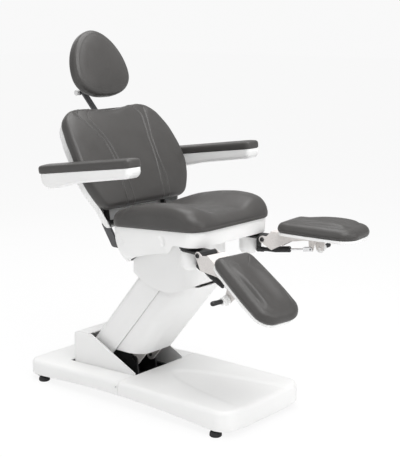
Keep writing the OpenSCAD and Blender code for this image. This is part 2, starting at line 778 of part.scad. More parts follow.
head_edge_steps = 6;
head_rear_low_z = head_low_z + 58;
function head_edge(u) = u < 0 ? between(head_low_z, head_rear_low_z, u * u)
  : between(head_low_z, head_front_low_z, u * u);
module head_side() polygon(concat(
  [for (k = [-head_edge_steps : head_edge_steps]) let (u = k / head_edge_steps)
    [u < 0 ? -u * head_rear_x : u * (head_front_x + overrun), head_edge(u)]],
  [[head_front_x + overrun, head_front_top_z], [head_rear_x / 5, head_mid_top_z],
    [head_rear_x, head_rear_low_z + head_cheek]]));
head_front_top_z = 745;
head_mid_top_z = 700;
head_cheek = 57;
module head_cover() color(white) intersection() {
  standing(-head_w, head_w) head_side();
  translate([head_front_x, 0, head_low_z - overrun]) rotate([0, 0, 180])
    linear_extrude(tilt_z) cover_plan(head_front_x - head_rear_x, head_w, head_r, head_wall);
}

module head_plate() {
  polygon([[head_pivot_x - boss_r, head_pivot_z], [head_pivot_x, head_pivot_z - boss_r],
    [head_pivot_x + link_x, head_pivot_z - link_drop - boss_r],
    [head_pivot_x + link_x + boss_r, head_pivot_z - link_drop],
    [tilt_rod_x + boss_r, tilt_z - boss_r], [tilt_rod_x, tilt_z],
    [tilt_x, tilt_z + boss_r], [tilt_x - boss_r, tilt_z]]);
  for (p = [[head_pivot_x, head_pivot_z], [head_pivot_x + link_x, head_pivot_z - link_drop],
    [tilt_rod_x, tilt_z - boss_r], [tilt_x, tilt_z]]) translate(p) circle(boss_r);
}
tilt_motor_r = 22;
tilt_motor_z = head_pivot_z + boss_r;
tilt_rod_x = tilt_x + tilt_reach;
// Side plates with the upper pins, the tilt pin and a shelf for the tilt motor
module head_frame() color(black) {
  both_sides() {
    standing(plate_in, plate_out) head_plate();
    for (p = [[head_pivot_x, head_pivot_z], [head_pivot_x + link_x, head_pivot_z - link_drop]])
      across(p[0], p[1], lift_pin_r, bar_out - plate_t - side_gap, plate_out + plate_t);
    across(tilt_x, tilt_z, lift_pin_r, plate_in, plate_out + 2 * plate_t);
  }
  box(tilt_rod_x - tilt_motor_r, tilt_rod_x + tilt_motor_r, -plate_out, plate_out,
    tilt_motor_z, tilt_motor_z + plate_t);
  both_sides() box(tilt_rod_x - tilt_motor_r, tilt_rod_x + tilt_motor_r / 4, plate_out,
    head_w / 2 - head_wall, tilt_z - 2 * boss_r - plate_t, tilt_z - 2 * boss_r);
}
tilt_rod_r = 9;
tilt_motor_top = tilt_z - plate_t;
tilt_travel = 42;
module tilt_motor() color(grey) translate([tilt_rod_x, 0, tilt_motor_z + plate_t]) difference() {
  cylinder(r = tilt_motor_r, h = tilt_motor_top - tilt_motor_z - plate_t, $fn = pin_fn);
  translate([0, 0, plate_t]) cylinder(r = tilt_rod_r + pin_gap, h = tilt_z, $fn = pin_fn);
}
// Rod with a round cap under the seat frame's middle tube
module tilt_rod() color(chrome) translate([tilt_rod_x, 0, tilt_motor_z + 2 * plate_t + tilt_foot])
  cylinder(r = tilt_rod_r, h = seat_height(tilt_rod_x, -seat_tube - deck_t - rod_head_gap)
    - tilt_motor_z - 2 * plate_t - tilt_foot, $fn = pin_fn);
tilt_foot = 14;
rod_head_gap = 1.6;

// Seat: +X along the seat, z = 0 under its cushion

seat_tube = 30;
deck_t = 12;
seat_rail_y = 190;
frame_inset = 22;
module on_seat() {
  translate([seat_rear_x, 0, seat_z]) rotate([0, -seat_a, 0]) children();
}
function seat_height(x, z) = seat_z + (x - seat_rear_x) * tan(seat_a) + z / cos(seat_a);
function seat_run(x) = (x - seat_rear_x) / cos(seat_a);
// Tilt pin in the seat's own frame
tilt_run = (tilt_x - seat_rear_x) * cos(seat_a) + (tilt_z - seat_z) * sin(seat_a);
tilt_rise = (tilt_z - seat_z) * cos(seat_a) - (tilt_x - seat_rear_x) * sin(seat_a);
lug_in = plate_out + side_gap;
module seat_frame() color(black) on_seat() {
  box(frame_inset, seat_l - frame_inset, -seat_rail_y - seat_tube / 2,
    seat_rail_y + seat_tube / 2, -deck_t - soft_gap, -soft_gap);
  both_sides() box(frame_inset, seat_l - frame_inset, seat_rail_y - seat_tube / 2,
    seat_rail_y + seat_tube / 2, -deck_t - seat_tube, -deck_t - soft_gap);
  for (x = [tilt_run, seat_run(tilt_rod_x), seat_l - frame_inset - seat_tube / 2])
    box(x - seat_tube / 2, x + seat_tube / 2, seat_tube / 2 - seat_rail_y,
      seat_rail_y - seat_tube / 2, -deck_t - seat_tube, -deck_t - soft_gap);
  both_sides() standing(lug_in, lug_in + plate_t) difference() {
    union() {
      translate([tilt_run, tilt_rise]) circle(boss_r);
      translate([tilt_run - boss_r, tilt_rise]) square([2 * boss_r,
        -deck_t - seat_tube / 2 - tilt_rise]);
    }
    translate([tilt_run, tilt_rise]) circle(lift_pin_r + pin_gap, $fn = pin_fn);
  }
  both_sides() box(frame_inset, frame_inset + seat_tube, hinge_in - hinge_t,
    hinge_in - soft_gap, hinge_seat_z, -deck_t - seat_tube);
}

// Seat shell: a bowl that is deep at the rear and shallow at the front

shell_x0 = seat_rear_x - 5;
shell_x1 = seat_rear_x + seat_l - 10;
shell_w = seat_w - 28;
shell_r = 62;
mouth_x0 = shell_x0 + 3 * shell_wall;
mouth_x1 = head_front_x + 8;
shell_rear_half_share = 0.68;
shell_bulge = 2.6;
shell_rise_share = [[0, 0], [0.2, 0.31], [0.38, 0.51], [0.52, 0.615], [0.69, 0.76], [0.72, 0.8],
  [0.735, 1], [1, 1]];
function shell_share(x) = min(1, max(0, (x - shell_x0) / (shell_x1 - shell_x0)));
function shell_bottom(x) = between(shell_rear_z, shell_front_z,
  lookup(shell_share(x), shell_rise_share));
function shell_top(x) = seat_height(x, -soft_gap);
function shell_half(x) = between(shell_rear_half_share, 1, min(1, shell_share(x) * 1.5));
// Outline seen from above, with extra points along both straight sides
shell_side_share = [0.14, 0.28, 0.4, 0.52, 0.65, 0.765, 0.797, 0.82];
function long_loop(x0, x1, w, r) = concat(
  quarter(x1 - r, r - w / 2, r, -90),
  quarter(x1 - r, w / 2 - r, r, 0),
  [for (u = reversed(shell_side_share)) [between(x0 + r, x1 - r, u), w / 2]],
  quarter(x0 + r, w / 2 - r, r, 90),
  quarter(x0 + r, r - w / 2, r, 180),
  [for (u = shell_side_share) [between(x0 + r, x1 - r, u), -w / 2]]);
function shell_loop(d, inset) = [for (p = long_loop(shell_x0 + inset + shell_draw * pow(d, shell_bulge),
    shell_x1 - inset - shell_draw * pow(d, shell_bulge), shell_w - 2 * inset, shell_r - inset))
  [p[0], p[1] * between(1, shell_half(p[0]), pow(d, shell_bulge)),
    between(shell_top(p[0]), shell_bottom(p[0]) + inset, d)]];
shell_draw = 4;
function mouth_loop(z) = let (
  edge = long_loop(mouth_x0, mouth_x1, mouth_w, mouth_r),
  rim = shell_loop(1, 0))
  [for (i = [0 : len(edge) - 1]) [edge[i][0], edge[i][1], rim[i][2] + z]];
mouth_r = 40;
shell_depths = [1, 0.95, 0.86, 0.7, 0.45, 0];
module seat_shell() color(white) difference() {
  wall_ring(concat([mouth_loop(mouth_rise)],
    [for (d = shell_depths) shell_loop(d, 0)],
    [for (d = reversed(shell_depths)) shell_loop(d, shell_wall)],
    [mouth_loop(mouth_rise + shell_wall)]));
  both_sides() {
    translate([post_x, post_y, 0]) cylinder(r = post_r + side_gap, h = seat_z);
    box(shell_x0 - overrun, shell_x0 + shell_r / 2, hinge_in - side_gap,
      hinge_in + hinge_t + side_gap, hinge_slot_z - hinge_slot_h, hinge_slot_z + hinge_slot_h);
  }
  box(shell_x0 - overrun, shell_x0 + shell_r / 2, -back_rod_slot, back_rod_slot,
    back_tip_z - back_rod_slot, back_tip_z + back_rod_slot);
}
mouth_rise = 1.5;
post_r = 18;

seat_table_share = [[0, -0.14], [0.22, -0.02], [0.42, 0.42], [0.62, 0.94], [0.74, 1],
  [0.86, 0.72], [0.94, 0.3], [1, 0]];
seat_front_r = 74;
seat_rear_r = 52;
seat_edge_r = 26;
seat_nose = 62;
seat_top_steps = 22;
function seat_section(x) = let (
  front = seat_l - x,
  rear = x - seat_back_gap,
  w = seat_w / 2 - drawn_in(front, seat_front_r) - drawn_in(rear, seat_rear_r),
  fall = drawn_in(front, seat_nose) / seat_nose + drawn_in(rear, seat_edge_r) / seat_edge_r * 0.6,
  h = seat_side_h * (1 - 0.72 * fall),
  r = min(seat_edge_r, h * corner_share / 1.2),
  tops = [for (k = [1 : seat_top_steps - 1]) let (y = (w - r) * (1 - 2 * k / seat_top_steps))
    [y, h + seat_bolster * (1 - fall) * lookup(abs(y) / (w - r), seat_table_share)]])
  [for (p = pillow(w, h, r, seat_inset, tops)) [x, p[0], p[1]]];
seat_inset = 5;
seat_back_gap = 10;
module seat_cushion() color(upholstery) on_seat()
  loft([for (u = row_shares(soft_rows)) seat_section(between(seat_back_gap, seat_l, u))]);

// Recline hinges

hinge_t = 12;
hinge_in = hinge_track / 2 - hinge_t - side_gap;
hinge_r = 17;
hinge_pin_r = 9;
hinge_slot_z = 692;
hinge_slot_h = 26;
hinge_seat_z = -100;
module back_hinge_brackets() color(grey) both_sides() standing(hinge_in, hinge_in + hinge_t)
  difference() {
    union() {
      link_outline(back_pivot_x, back_pivot_z, hinge_r, shell_x0 - hinge_r, hinge_slot_z,
        hinge_r);
      link_outline(shell_x0 - hinge_r, hinge_slot_z, hinge_r,
        seat_rear_x + frame_inset + seat_tube / 2, hinge_slot_z, hinge_r);
    }
    translate([back_pivot_x, back_pivot_z]) circle(hinge_pin_r + pin_gap, $fn = pin_fn);
  }

mount_t = 7.5;
arm_t = 7.5;
mount_r = 45;
mount_z = knee_z + arm_t + side_gap / 2;
swivel_pin_r = 10;
// Plates with the posts and pins that the leg rests swing on
module leg_mount_plates() color(black) both_sides() translate([post_x, post_y, 0]) {
  translate([0, 0, mount_z]) cylinder(r = mount_r, h = mount_t);
  translate([0, 0, mount_z]) cylinder(r = post_r,
    h = seat_height(post_x - post_r, -deck_t - seat_tube) - soft_gap - mount_z);
  translate([0, 0, knee_z - cup_h / 2]) cylinder(r = swivel_pin_r,
    h = mount_z + mount_t / 2 - knee_z + cup_h / 2, $fn = pin_fn);
}

back_crank_l = 72;
back_crank_a = 28;
back_rod_slot = 24;
back_rod_r = 8;
back_pin_r = 6;
back_tip_x = back_pivot_x - back_crank_l * sin(back_crank_a);
back_tip_z = back_pivot_z - back_crank_l * cos(back_crank_a);
back_travel = 72;
back_motor_r = 20;
back_motor_x = shell_x0 + shell_wall + back_travel / 4;
back_motor_l = 168;
module back_motor() color(grey) difference() {
  union() {
    translate([back_motor_x, 0, back_tip_z]) rotate([0, 90, 0])
      cylinder(r = back_motor_r, h = back_motor_l, $fn = pin_fn);
    on_seat() box(tilt_run - back_motor_r / 2, tilt_run + back_motor_r / 2, -back_motor_r / 2,
      back_motor_r / 2, back_tip_z - seat_z, -deck_t - seat_tube);
  }
  translate([back_motor_x - overrun, 0, back_tip_z]) rotate([0, 90, 0])
    cylinder(r = back_rod_r + pin_gap, h = back_motor_l - back_motor_r / 2, $fn = pin_fn);
}
module back_rod() color(chrome) {
  x1 = back_tip_x + back_pin_r + yoke_gap;
  translate([x1 + yoke_t / 2, 0, back_tip_z]) rotate([0, 90, 0])
    cylinder(r = back_rod_r, h = back_motor_x + back_travel + plate_t - x1, $fn = pin_fn);
  difference() {
    box(back_tip_x - back_pin_r - yoke_gap - yoke_t, x1 + yoke_t, -yoke_t, yoke_t,
      back_tip_z - yoke_h / 2, back_tip_z + yoke_h / 2);
    box(back_tip_x - back_pin_r - yoke_gap, x1, -yoke_t - overrun, yoke_t + overrun,
      back_tip_z - (yoke_h - plate_t) / 2, back_tip_z + (yoke_h - plate_t) / 2);
  }
}

// Backrest: s runs up the curve of its front, n out of its front

turn = 180 / PI;
function on_back(s, y, n) = let (a = back_a + s / back_bend_r * turn)
  [back_x + (back_bend_r + n) * cos(a) - back_bend_r * cos(back_a), y,
    back_z + (back_bend_r + n) * sin(a) - back_bend_r * sin(back_a)];
back_rise_share = [[0, 0], [0.13, 0.5], [0.2, 0.74], [0.33, 1]];
back_fall_share = [[0.48, 0], [0.7, 0.2], [0.86, 0.6], [1, 1]];
function back_half(s) = let (u = max(0, s) / back_l)
  between(back_low_w, back_w, lookup(u, back_rise_share)) / 2
    - (back_w - back_top_w) / 2 * lookup(u, back_fall_share);
// The top edge dips in its middle
function dipped(s, y, w) = s - back_dip * pow(max(0, s) / back_l, 4)
  * pow(cos(90 * min(1, abs(y) / (w * side_reach_share))), 2);
side_reach_share = 0.8;
back_foot_r = 40;
back_shoulder_r = 75;
back_rim_r = 22;
inner_welt_share = [[0, 0.29], [0.17, 0.308], [0.4, 0.352], [0.6, 0.385], [0.96, 0.557]];
outer_welt_share = [[0, 0.415], [0.17, 0.434], [0.4, 0.415], [0.6, 0.45], [0.96, 0.68]];
function back_section(u) = let (
  s = u * back_l,
  w = back_half(s) - drawn_in(s, back_foot_r) - drawn_in(back_l - s, back_shoulder_r),
  rim = drawn_in(min(s, back_l - s), back_rim_r) / back_rim_r,
  h = back_side_h * (1 - rim * 0.42),
  r = back_rim_r * (1 - rim * 0.3),
  i = min(back_w / 2 * lookup(u, inner_welt_share), (w - r) * 0.6),
  o = min(back_w / 2 * lookup(u, outer_welt_share), (w - r) * 0.86),
  g = welt_w / 4,
  half = [[between(o, w - r, 0.6), 0], [o + g, 0], [o, 1], [o - g, 0], [i + g, 0], [i, 1],
    [i - g, 0], [i * 0.5, 0]],
  tops = [for (p = concat(half, [[0, 0]], [for (q = reversed(half)) [-q[0], q[1]]]))
    [p[0], h + back_crown * (1 - rim) * (1 - pow(p[0] / w, 2)) - welt_h * p[1] * (1 - rim)]])
  [for (p = pillow(w, h, r, seat_inset, tops))
    on_back(dipped(s, p[0], w), -p[0], p[1] - back_side_h)];
module back_cushion() color(upholstery)
  loft([for (u = row_shares(soft_rows)) back_section(u)]);

back_shell_low = -80;
back_shell_lip = 10;
back_shell_corner = 44;
back_shell_end = 26;
back_shell_slope = 0.4;
function back_shell_half(s) = back_half(s) - back_shell_lip + back_shell_slope * min(0, s)
  - drawn_in(back_l - back_shell_lip - s, back_shoulder_r) * corner_share;
function back_shell_gap(s) = min(s - back_shell_low, back_l - back_shell_lip - s);
function back_shell_path(s, w, d, r) = [for (p = concat([[w, 0]], quarter(w - r, d - r, r, 0),
    [for (k = [1 : shell_steps - 1]) [(w - r) * (1 - 2 * k / shell_steps), d]],
    quarter(r - w, d - r, r, 90), [[-w, 0]]))
  on_back(dipped(s, p[0], w), p[0], -back_side_h - soft_gap - p[1])];
shell_steps = 6;
function back_shell_section(row) = let (
  d = back_shell_d - drawn_in(back_shell_gap(row[0]), back_shell_end),
  di = row[2] == 0 ? skirt
    : back_shell_d - drawn_in(max(0, back_shell_gap(row[1]) - back_shell_wall), back_shell_end)
      - back_shell_wall)
  concat(back_shell_path(row[0], back_shell_half(row[0]), d, min(back_shell_corner, d * corner_share)),
    reversed(back_shell_path(row[1], back_shell_half(row[1]) - back_shell_wall, di,
      min(back_shell_corner, di * corner_share))));
back_shell_wall = 4;
module hinge_swing() {
  translate([back_pivot_x, back_pivot_z]) {
    circle(hinge_r + plate_t / 2);
    polygon(concat([[0, 0]], [for (a = [-10 : -20 : -150]) 4 * hinge_r * [cos(a), sin(a)]]));
  }
}
module back_shell() color(white) difference() {
  trough([for (row = concat(end_rows(back_shell_low, 1, back_shell_wall),
      [for (u = row_shares(soft_rows)) let (s = between(back_shell_low,
        back_l - back_shell_lip, u)) if (back_shell_gap(s) > back_shell_wall) [s, s, 1]],
      reversed(end_rows(back_l - back_shell_lip, -1, back_shell_wall))))
    back_shell_section(row)]);
  both_sides() standing(hinge_in - 2 * side_gap, hinge_in + hinge_t + 2 * side_gap) hinge_swing();
  standing(-crank_lane - 2 * side_gap, crank_lane + 2 * side_gap)
    link_outline(back_pivot_x, back_pivot_z, hinge_r, back_tip_x, back_tip_z, hinge_r);
  across(arm_axis_x, arm_axis_z, arm_tube_r + soft_gap, -arms_w / 2, arms_w / 2);
  across(back_pivot_x, back_pivot_z, hinge_pin_r + side_gap, -hinge_in, hinge_in);
  both_sides() across(back_pivot_x, back_pivot_z, upright_r + side_gap,
    hinge_in - upright_t - 2 * side_gap, hinge_in - side_gap / 2);
  on_bar() box(-guide_out_x - side_gap, guide_out_x + side_gap, -guide_out_y - side_gap,
    guide_out_y + side_gap, -head_bar_l * 0.62, 0);
}

crank_lane = 20;
arm_tube_r = 12;
arm_tube_out = arms_w / 2 - pad_w / 2;
arm_axis_run = 100;
arm_axis_drop = 34;
arm_axis_x = pad_rear_x + arm_axis_run * cos(pad_a) + arm_axis_drop * sin(pad_a);
arm_axis_z = pad_rear_z + arm_axis_run * sin(pad_a) - arm_axis_drop * cos(pad_a);
upright_t = 12;
upright_r = 13;
module upright(p, q) {
  a = atan2(q[1] - p[1], q[0] - p[0]);
  for (c = [p, q]) translate(c) circle(upright_r, $fn = pin_fn);
  translate(p) rotate(a) translate([0, 2 * side_gap - upright_r])
    square([norm(q - p), 2 * (upright_r - 2 * side_gap)]);
}
upright_share = [0.125, 0.75];
upright_deep = [78, 86];
function upright_point(k) = let (p = on_back(upright_share[k] * back_l, 0, -upright_deep[k]))
  [p[0], p[2]];
// Uprights with the recline pins, the armrest tube and the recline crank
module back_frame() color(black) {
  both_sides() {
    standing(hinge_in - side_gap - upright_t, hinge_in - side_gap) {
      upright([back_pivot_x, back_pivot_z], upright_point(0));
      upright([arm_axis_x, arm_axis_z], upright_point(0));
      upright([arm_axis_x, arm_axis_z], upright_point(1));
    }
    across(back_pivot_x, back_pivot_z, hinge_pin_r, 0, hinge_in + hinge_t + side_gap);
    standing(yoke_t + side_gap, crank_lane)
      upright([back_pivot_x, back_pivot_z], [back_tip_x, back_tip_z]);
  }
  across(back_tip_x, back_tip_z, back_pin_r, -crank_lane, crank_lane);
  across(arm_axis_x, arm_axis_z, arm_tube_r, -arm_tube_out, arm_tube_out);
  on_bar() box(-guide_out_x - upright_t, -guide_out_x, -hinge_in + side_gap + upright_t / 2,
    hinge_in - side_gap - upright_t / 2, -guide_tie - head_bar_w, -guide_tie);
}
guide_tie = 230;

// Headrest: the bar's frame has +Z up the bar from the tilt hinge

module on_bar() {
  translate([head_hinge_x, 0, head_hinge_z]) rotate([0, -head_bar_a, 0]) children();
}
guide_wall = 4;
guide_out_x = head_bar_t / 2 + pin_gap + guide_wall;
guide_out_y = head_bar_w / 2 + pin_gap + guide_wall;
guide_top = 166;
module headrest_guide() color(grey) on_bar() difference() {
  box(-guide_out_x, guide_out_x, -guide_out_y, guide_out_y, -head_bar_l - guide_wall, -guide_top);
  box(-head_bar_t / 2 - pin_gap, head_bar_t / 2 + pin_gap, -head_bar_w / 2 - pin_gap,
    head_bar_w / 2 + pin_gap, -head_bar_l - guide_wall - overrun, overrun - guide_top);
}
head_eye_r = 10;
head_pin_r = 5;
module headrest_bar() color(grey) on_bar() difference() {
  union() {
    box(-head_bar_t / 2, head_bar_t / 2, -head_bar_w / 2, head_bar_w / 2, -head_bar_l, 0);
    across(0, 0, head_eye_r, -head_bar_w / 2, head_bar_w / 2);
  }
  across(0, 0, head_pin_r + pin_gap, -head_bar_w, head_bar_w);
}

// The headrest's frame has +Z up the cushion and +X out of its front
module on_headrest() {
  translate([head_x, 0, head_z]) rotate([0, -head_a, 0]) children();
}
head_hinge_u = (head_hinge_x - head_x) * cos(head_a) + (head_hinge_z - head_z) * sin(head_a);
head_hinge_v = (head_hinge_z - head_z) * cos(head_a) - (head_hinge_x - head_x) * sin(head_a);
bracket_w = 100;
bracket_t = 5;
bracket_low = 30;
bracket_high = 150;
head_lug_in = head_bar_w / 2 + side_gap;
module headrest_bracket() color(grey) on_headrest() {
  box(-head_t - soft_gap - bracket_t, -head_t - soft_gap, -bracket_w / 2, bracket_w / 2,
    bracket_low, bracket_high);
  both_sides() {
    standing(head_lug_in, head_lug_in + bracket_t) polygon([[head_hinge_u - head_eye_r,
      head_hinge_v - head_eye_r], [head_hinge_u + head_eye_r, head_hinge_v - head_eye_r],
      [-head_t - soft_gap - bracket_t, bracket_low + bracket_t],
      [-head_t - soft_gap - bracket_t, bracket_high - bracket_low],
      [head_hinge_u, head_hinge_v + head_eye_r],
      [head_hinge_u - head_eye_r, head_hinge_v]]);
    across(head_hinge_u, head_hinge_v, head_pin_r, 0, head_lug_in + 2 * bracket_t);
  }
}

egg_wide_share = 0.36;
function egg_half(u) = u < egg_wide_share
  ? pow(max(0, 1 - pow((egg_wide_share - u) / egg_wide_share, egg_low)), 1 / egg_low)
  : pow(max(0, 1 - pow((u - egg_wide_share) / (1 - egg_wide_share), egg_high)), 1 / egg_high);
egg_low = 2.3;
egg_high = 1.85;
egg_rim_r = 24;
egg_end_share = 0.16;
head_top_steps = 10;
function headrest_section(u) = let (
  w = head_cushion_w / 2 * max(egg_end_share, egg_half(u)),
  v = u * head_l,
  rim = drawn_in(min(v, head_l - v), egg_rim_r) / egg_rim_r,
  h = head_t * (1 - rim * 0.44),
  r = egg_rim_r * (1 - rim * 0.4),
  tops = [for (k = [1 : head_top_steps - 1]) let (y = (w - r) * (1 - 2 * k / head_top_steps))
    [y, h + head_crown * (1 - rim) * egg_half(u) * (1 - pow(y / w, 2))]])
  [for (p = pillow(w, h, r, seat_inset, tops)) [p[1] - head_t, -p[0], v]];
module headrest_cushion() color(upholstery) on_headrest()
  loft([for (u = row_shares(soft_rows)) headrest_section(u)]);

// Armrests: +X along the pad from its rear end, z = 0 under the pad

module on_pad() {
  translate([pad_rear_x, 0, pad_rear_z]) rotate([0, -pad_a, 0]) children();
}
arm_in = arms_w / 2 - pad_w;
arm_edge = 3;
module arm_side() {
  d = arm_rear_d;
  f = arm_front_d;
  polygon(concat([[2 * arm_edge, 0]],
    [for (p = quarter(d, 0, d - 2 * arm_edge, 180)) [p[0], p[1] * d / (d - 2 * arm_edge)]],
    [[pad_l * 0.28, -between(f, d, 0.56)], [pad_l * 0.46, -between(f, d, 0.2)]],
    [for (p = quarter(pad_l - f * corner_share, f * corner_share - f, f * corner_share, -90)) p],
    [[pad_l, 0]]));
}
module arm_body() color(white) difference() {
  on_pad() standing(arm_in + arm_edge, arms_w / 2 - arm_edge) translate([0, -soft_gap]) arm_side();
  across(arm_axis_x, arm_axis_z, arm_tube_r + pin_gap, 0, arm_tube_out + side_gap);
}
pad_rim_r = 13;
pad_end_r = 16;
pad_top_steps = 6;
function pad_section(x) = let (
  w = pad_w / 2 - drawn_in(x, pad_end_r) - drawn_in(pad_l - x, pad_end_r),
  rim = drawn_in(min(x, pad_l - x), pad_rim_r) / pad_rim_r,
  h = (pad_t - pad_crown) * (1 - rim * 0.3),
  r = pad_rim_r * (1 - rim * 0.4),
  tops = [for (k = [1 : pad_top_steps - 1]) let (y = (w - r) * (1 - 2 * k / pad_top_steps))
    [y, h + pad_crown * (1 - rim) * (1 - pow(y / w, 2))]])
  [for (p = pillow(w, h, r, pad_inset, tops)) [x, p[0] + arms_w / 2 - pad_w / 2, p[1]]];
pad_crown = 4;
pad_inset = 2;
pad_rows = 12;
module arm_pad() color(upholstery) on_pad()
  loft([for (u = row_shares(pad_rows)) pad_section(u * pad_l)]);
module left_arm_body() arm_body();
module left_arm_pad() arm_pad();
module right_arm_body() mirror([0, 1, 0]) arm_body();
module right_arm_pad() mirror([0, 1, 0]) arm_pad();

// Leg rests, drawn for the left and mirrored for the right

knee_r = 14;
knee_w = flange_w - 2 * flange_t - 2 * side_gap;
knee_pin_r = 7;
module on_post(swing) {
  translate([post_x, post_y, knee_z]) rotate([0, 0, swing]) children();
}
module on_leg(swing, drop) {
  on_post(swing) translate([knee_x, 0, 0]) rotate([0, drop, 0]) children();
}
module swivel_cup(swing) color(white) on_post(swing) difference() {
  rotate_extrude($fn = 48) polygon(concat([[0, -cup_h]],
    [for (p = quarter(cup_d / 2 - cup_round, cup_round - cup_h, cup_round, -90)) p],
    [[cup_d / 2, 0], [0, 0]]));
  translate([0, 0, -cup_h / 2 - side_gap]) cylinder(r = swivel_pin_r + pin_gap, h = cup_h,
    $fn = pin_fn);
}
cup_round = 28;
gas_lug_t = 12;
gas_pin_r = 4;
gas_fork_t = 4;
module swivel_arm(swing) color(black) on_post(swing) difference() {
  union() {
    linear_extrude(arm_t) {
      circle(cup_d / 2);
      translate([0, -knee_w / 2]) square([knee_x - knee_r / 2, knee_w]);
    }
    across(knee_x, 0, knee_r, -knee_w / 2, knee_w / 2);
    across(knee_x, 0, knee_pin_r, -flange_w / 2 - 2 * side_gap, flange_w / 2 + 2 * side_gap);
    standing(-gas_lug_t / 2, gas_lug_t / 2) translate([knee_x + gas_foot_x, gas_foot_z]) {
      circle(2 * gas_pin_r, $fn = pin_fn);
      translate([-2 * gas_pin_r, 0]) square([4 * gas_pin_r, arm_t / 2 - gas_foot_z]);
    }
    across(knee_x + gas_foot_x, gas_foot_z, gas_pin_r, -gas_lug_t / 2 - side_gap - gas_fork_t,
      gas_lug_t / 2 + side_gap + gas_fork_t);
  }
  translate([0, 0, -overrun]) cylinder(r = swivel_pin_r + pin_gap, h = arm_t + 2 * overrun,
    $fn = pin_fn);
}

deck_z = tray_z - side_gap / 2;
eye_r = 15;
flange_low = 40;
bracket_l = 380;
handle_x = 220;
handle_z = -28;
handle_r = 5;
module flange_side(tab) {
  polygon([[0, -eye_r], [bracket_l * 0.118, -flange_low], [bracket_l * 0.34, flange_t * 1.5],
    [bracket_l * 0.53, deck_z / 2], [bracket_l, deck_z * 2 / 3], [bracket_l, deck_z - flange_t],
    [flange_low, deck_z - flange_t], [eye_r + flange_t, eye_r], [0, eye_r]]);
  circle(eye_r);
  if (tab) polygon([[handle_x - 2 * eye_r, deck_z / 2], [handle_x - eye_r, handle_z - eye_r / 2],
    [handle_x + eye_r, handle_z - eye_r / 2], [handle_x + 2 * eye_r, deck_z / 2]]);
}
lug_half = 3;
module leg_bracket(swing, drop) color(cream) on_leg(swing, drop) difference() {
  union() {
    standing(flange_w / 2 - flange_t, flange_w / 2) flange_side(true);
    standing(-flange_w / 2, flange_t - flange_w / 2) flange_side(false);
    box(flange_low, bracket_l, -flange_w / 2, flange_w / 2, deck_z - flange_t, deck_z);
    standing(-lug_half, lug_half) polygon([[gas_joint_x - knee_r, deck_z - flange_t],
      [gas_joint_x - 2 * gas_pin_r, gas_joint_z - 2 * gas_pin_r],
      [gas_joint_x + 2 * gas_pin_r, gas_joint_z - 2 * gas_pin_r],
      [gas_joint_x + 2 * knee_r, deck_z - flange_t]]);
  }
  across(0, 0, knee_pin_r + pin_gap, -flange_w, flange_w);
  across(gas_joint_x, gas_joint_z, gas_pin_r + side_gap, -2 * lug_half, 2 * lug_half);
  across(handle_x, handle_z, handle_r + pin_gap, 0, flange_w);
}

leg_knee_r = 40;
leg_far_r = 60;
leg_rim_r = 20;
leg_steps = 12;
leg_table_share = [[0, 0], [0.25, 0.1], [0.5, 0.72], [0.66, 1], [0.85, 0.6], [1, 0]];
leg_width_share = [[0, 0], [0.3, 0.62], [0.62, 1], [0.85, 0.86], [1, 0.5]];
function leg_half(x) = between(leg_knee_w, leg_w, lookup(x / leg_l, leg_width_share)) / 2;
function leg_section(x) = let (
  w = leg_half(x) - drawn_in(x, leg_knee_r) * 0.7 - drawn_in(leg_l - x, leg_far_r),
  rim = drawn_in(min(x, leg_l - x), 2 * leg_rim_r) / (2 * leg_rim_r),
  h = leg_h * (1 - rim * 0.4),
  r = leg_rim_r * (1 - rim * 0.3),
  tops = [for (k = [1 : leg_steps - 1]) let (y = (w - r) * (1 - 2 * k / leg_steps))
    [y, h + leg_bolster * (1 - rim) * lookup(abs(y) / (w - r), leg_table_share)]])
  [for (p = pillow(w, h, r, seat_inset, tops)) [x + leg_start, p[0] - leg_shift,
    p[1] + tray_z + tray_t + soft_gap]];
module leg_cushion(swing, drop) color(upholstery) on_leg(swing, drop)
  loft([for (u = row_shares(soft_rows)) leg_section(u * leg_l)]);
tray_lip = 4;
runner_t = 6;
module leg_tray(swing, drop) color(white) on_leg(swing, drop) {
  translate([0, -leg_shift, tray_z]) linear_extrude(tray_t)
    polygon(concat([for (u = row_shares(soft_rows)) let (x = u * leg_l)
        [leg_start + between(tray_lip, leg_l - tray_lip, u), tray_half(x)]],
      [for (u = reversed(row_shares(soft_rows))) let (x = u * leg_l)
        [leg_start + between(tray_lip, leg_l - tray_lip, u), -tray_half(x)]]));
  for (s = [-1, 1]) box(leg_start + leg_knee_r, leg_start + leg_l / 2,
    s * (flange_w / 2 + pin_gap + runner_t / 2) - runner_t / 2,
    s * (flange_w / 2 + pin_gap + runner_t / 2) + runner_t / 2, tray_z - tray_t, tray_z);
}
function tray_half(x) = leg_half(x) - drawn_in(x, leg_knee_r) * 0.7
  - drawn_in(leg_l - x, leg_far_r) - tray_lip;

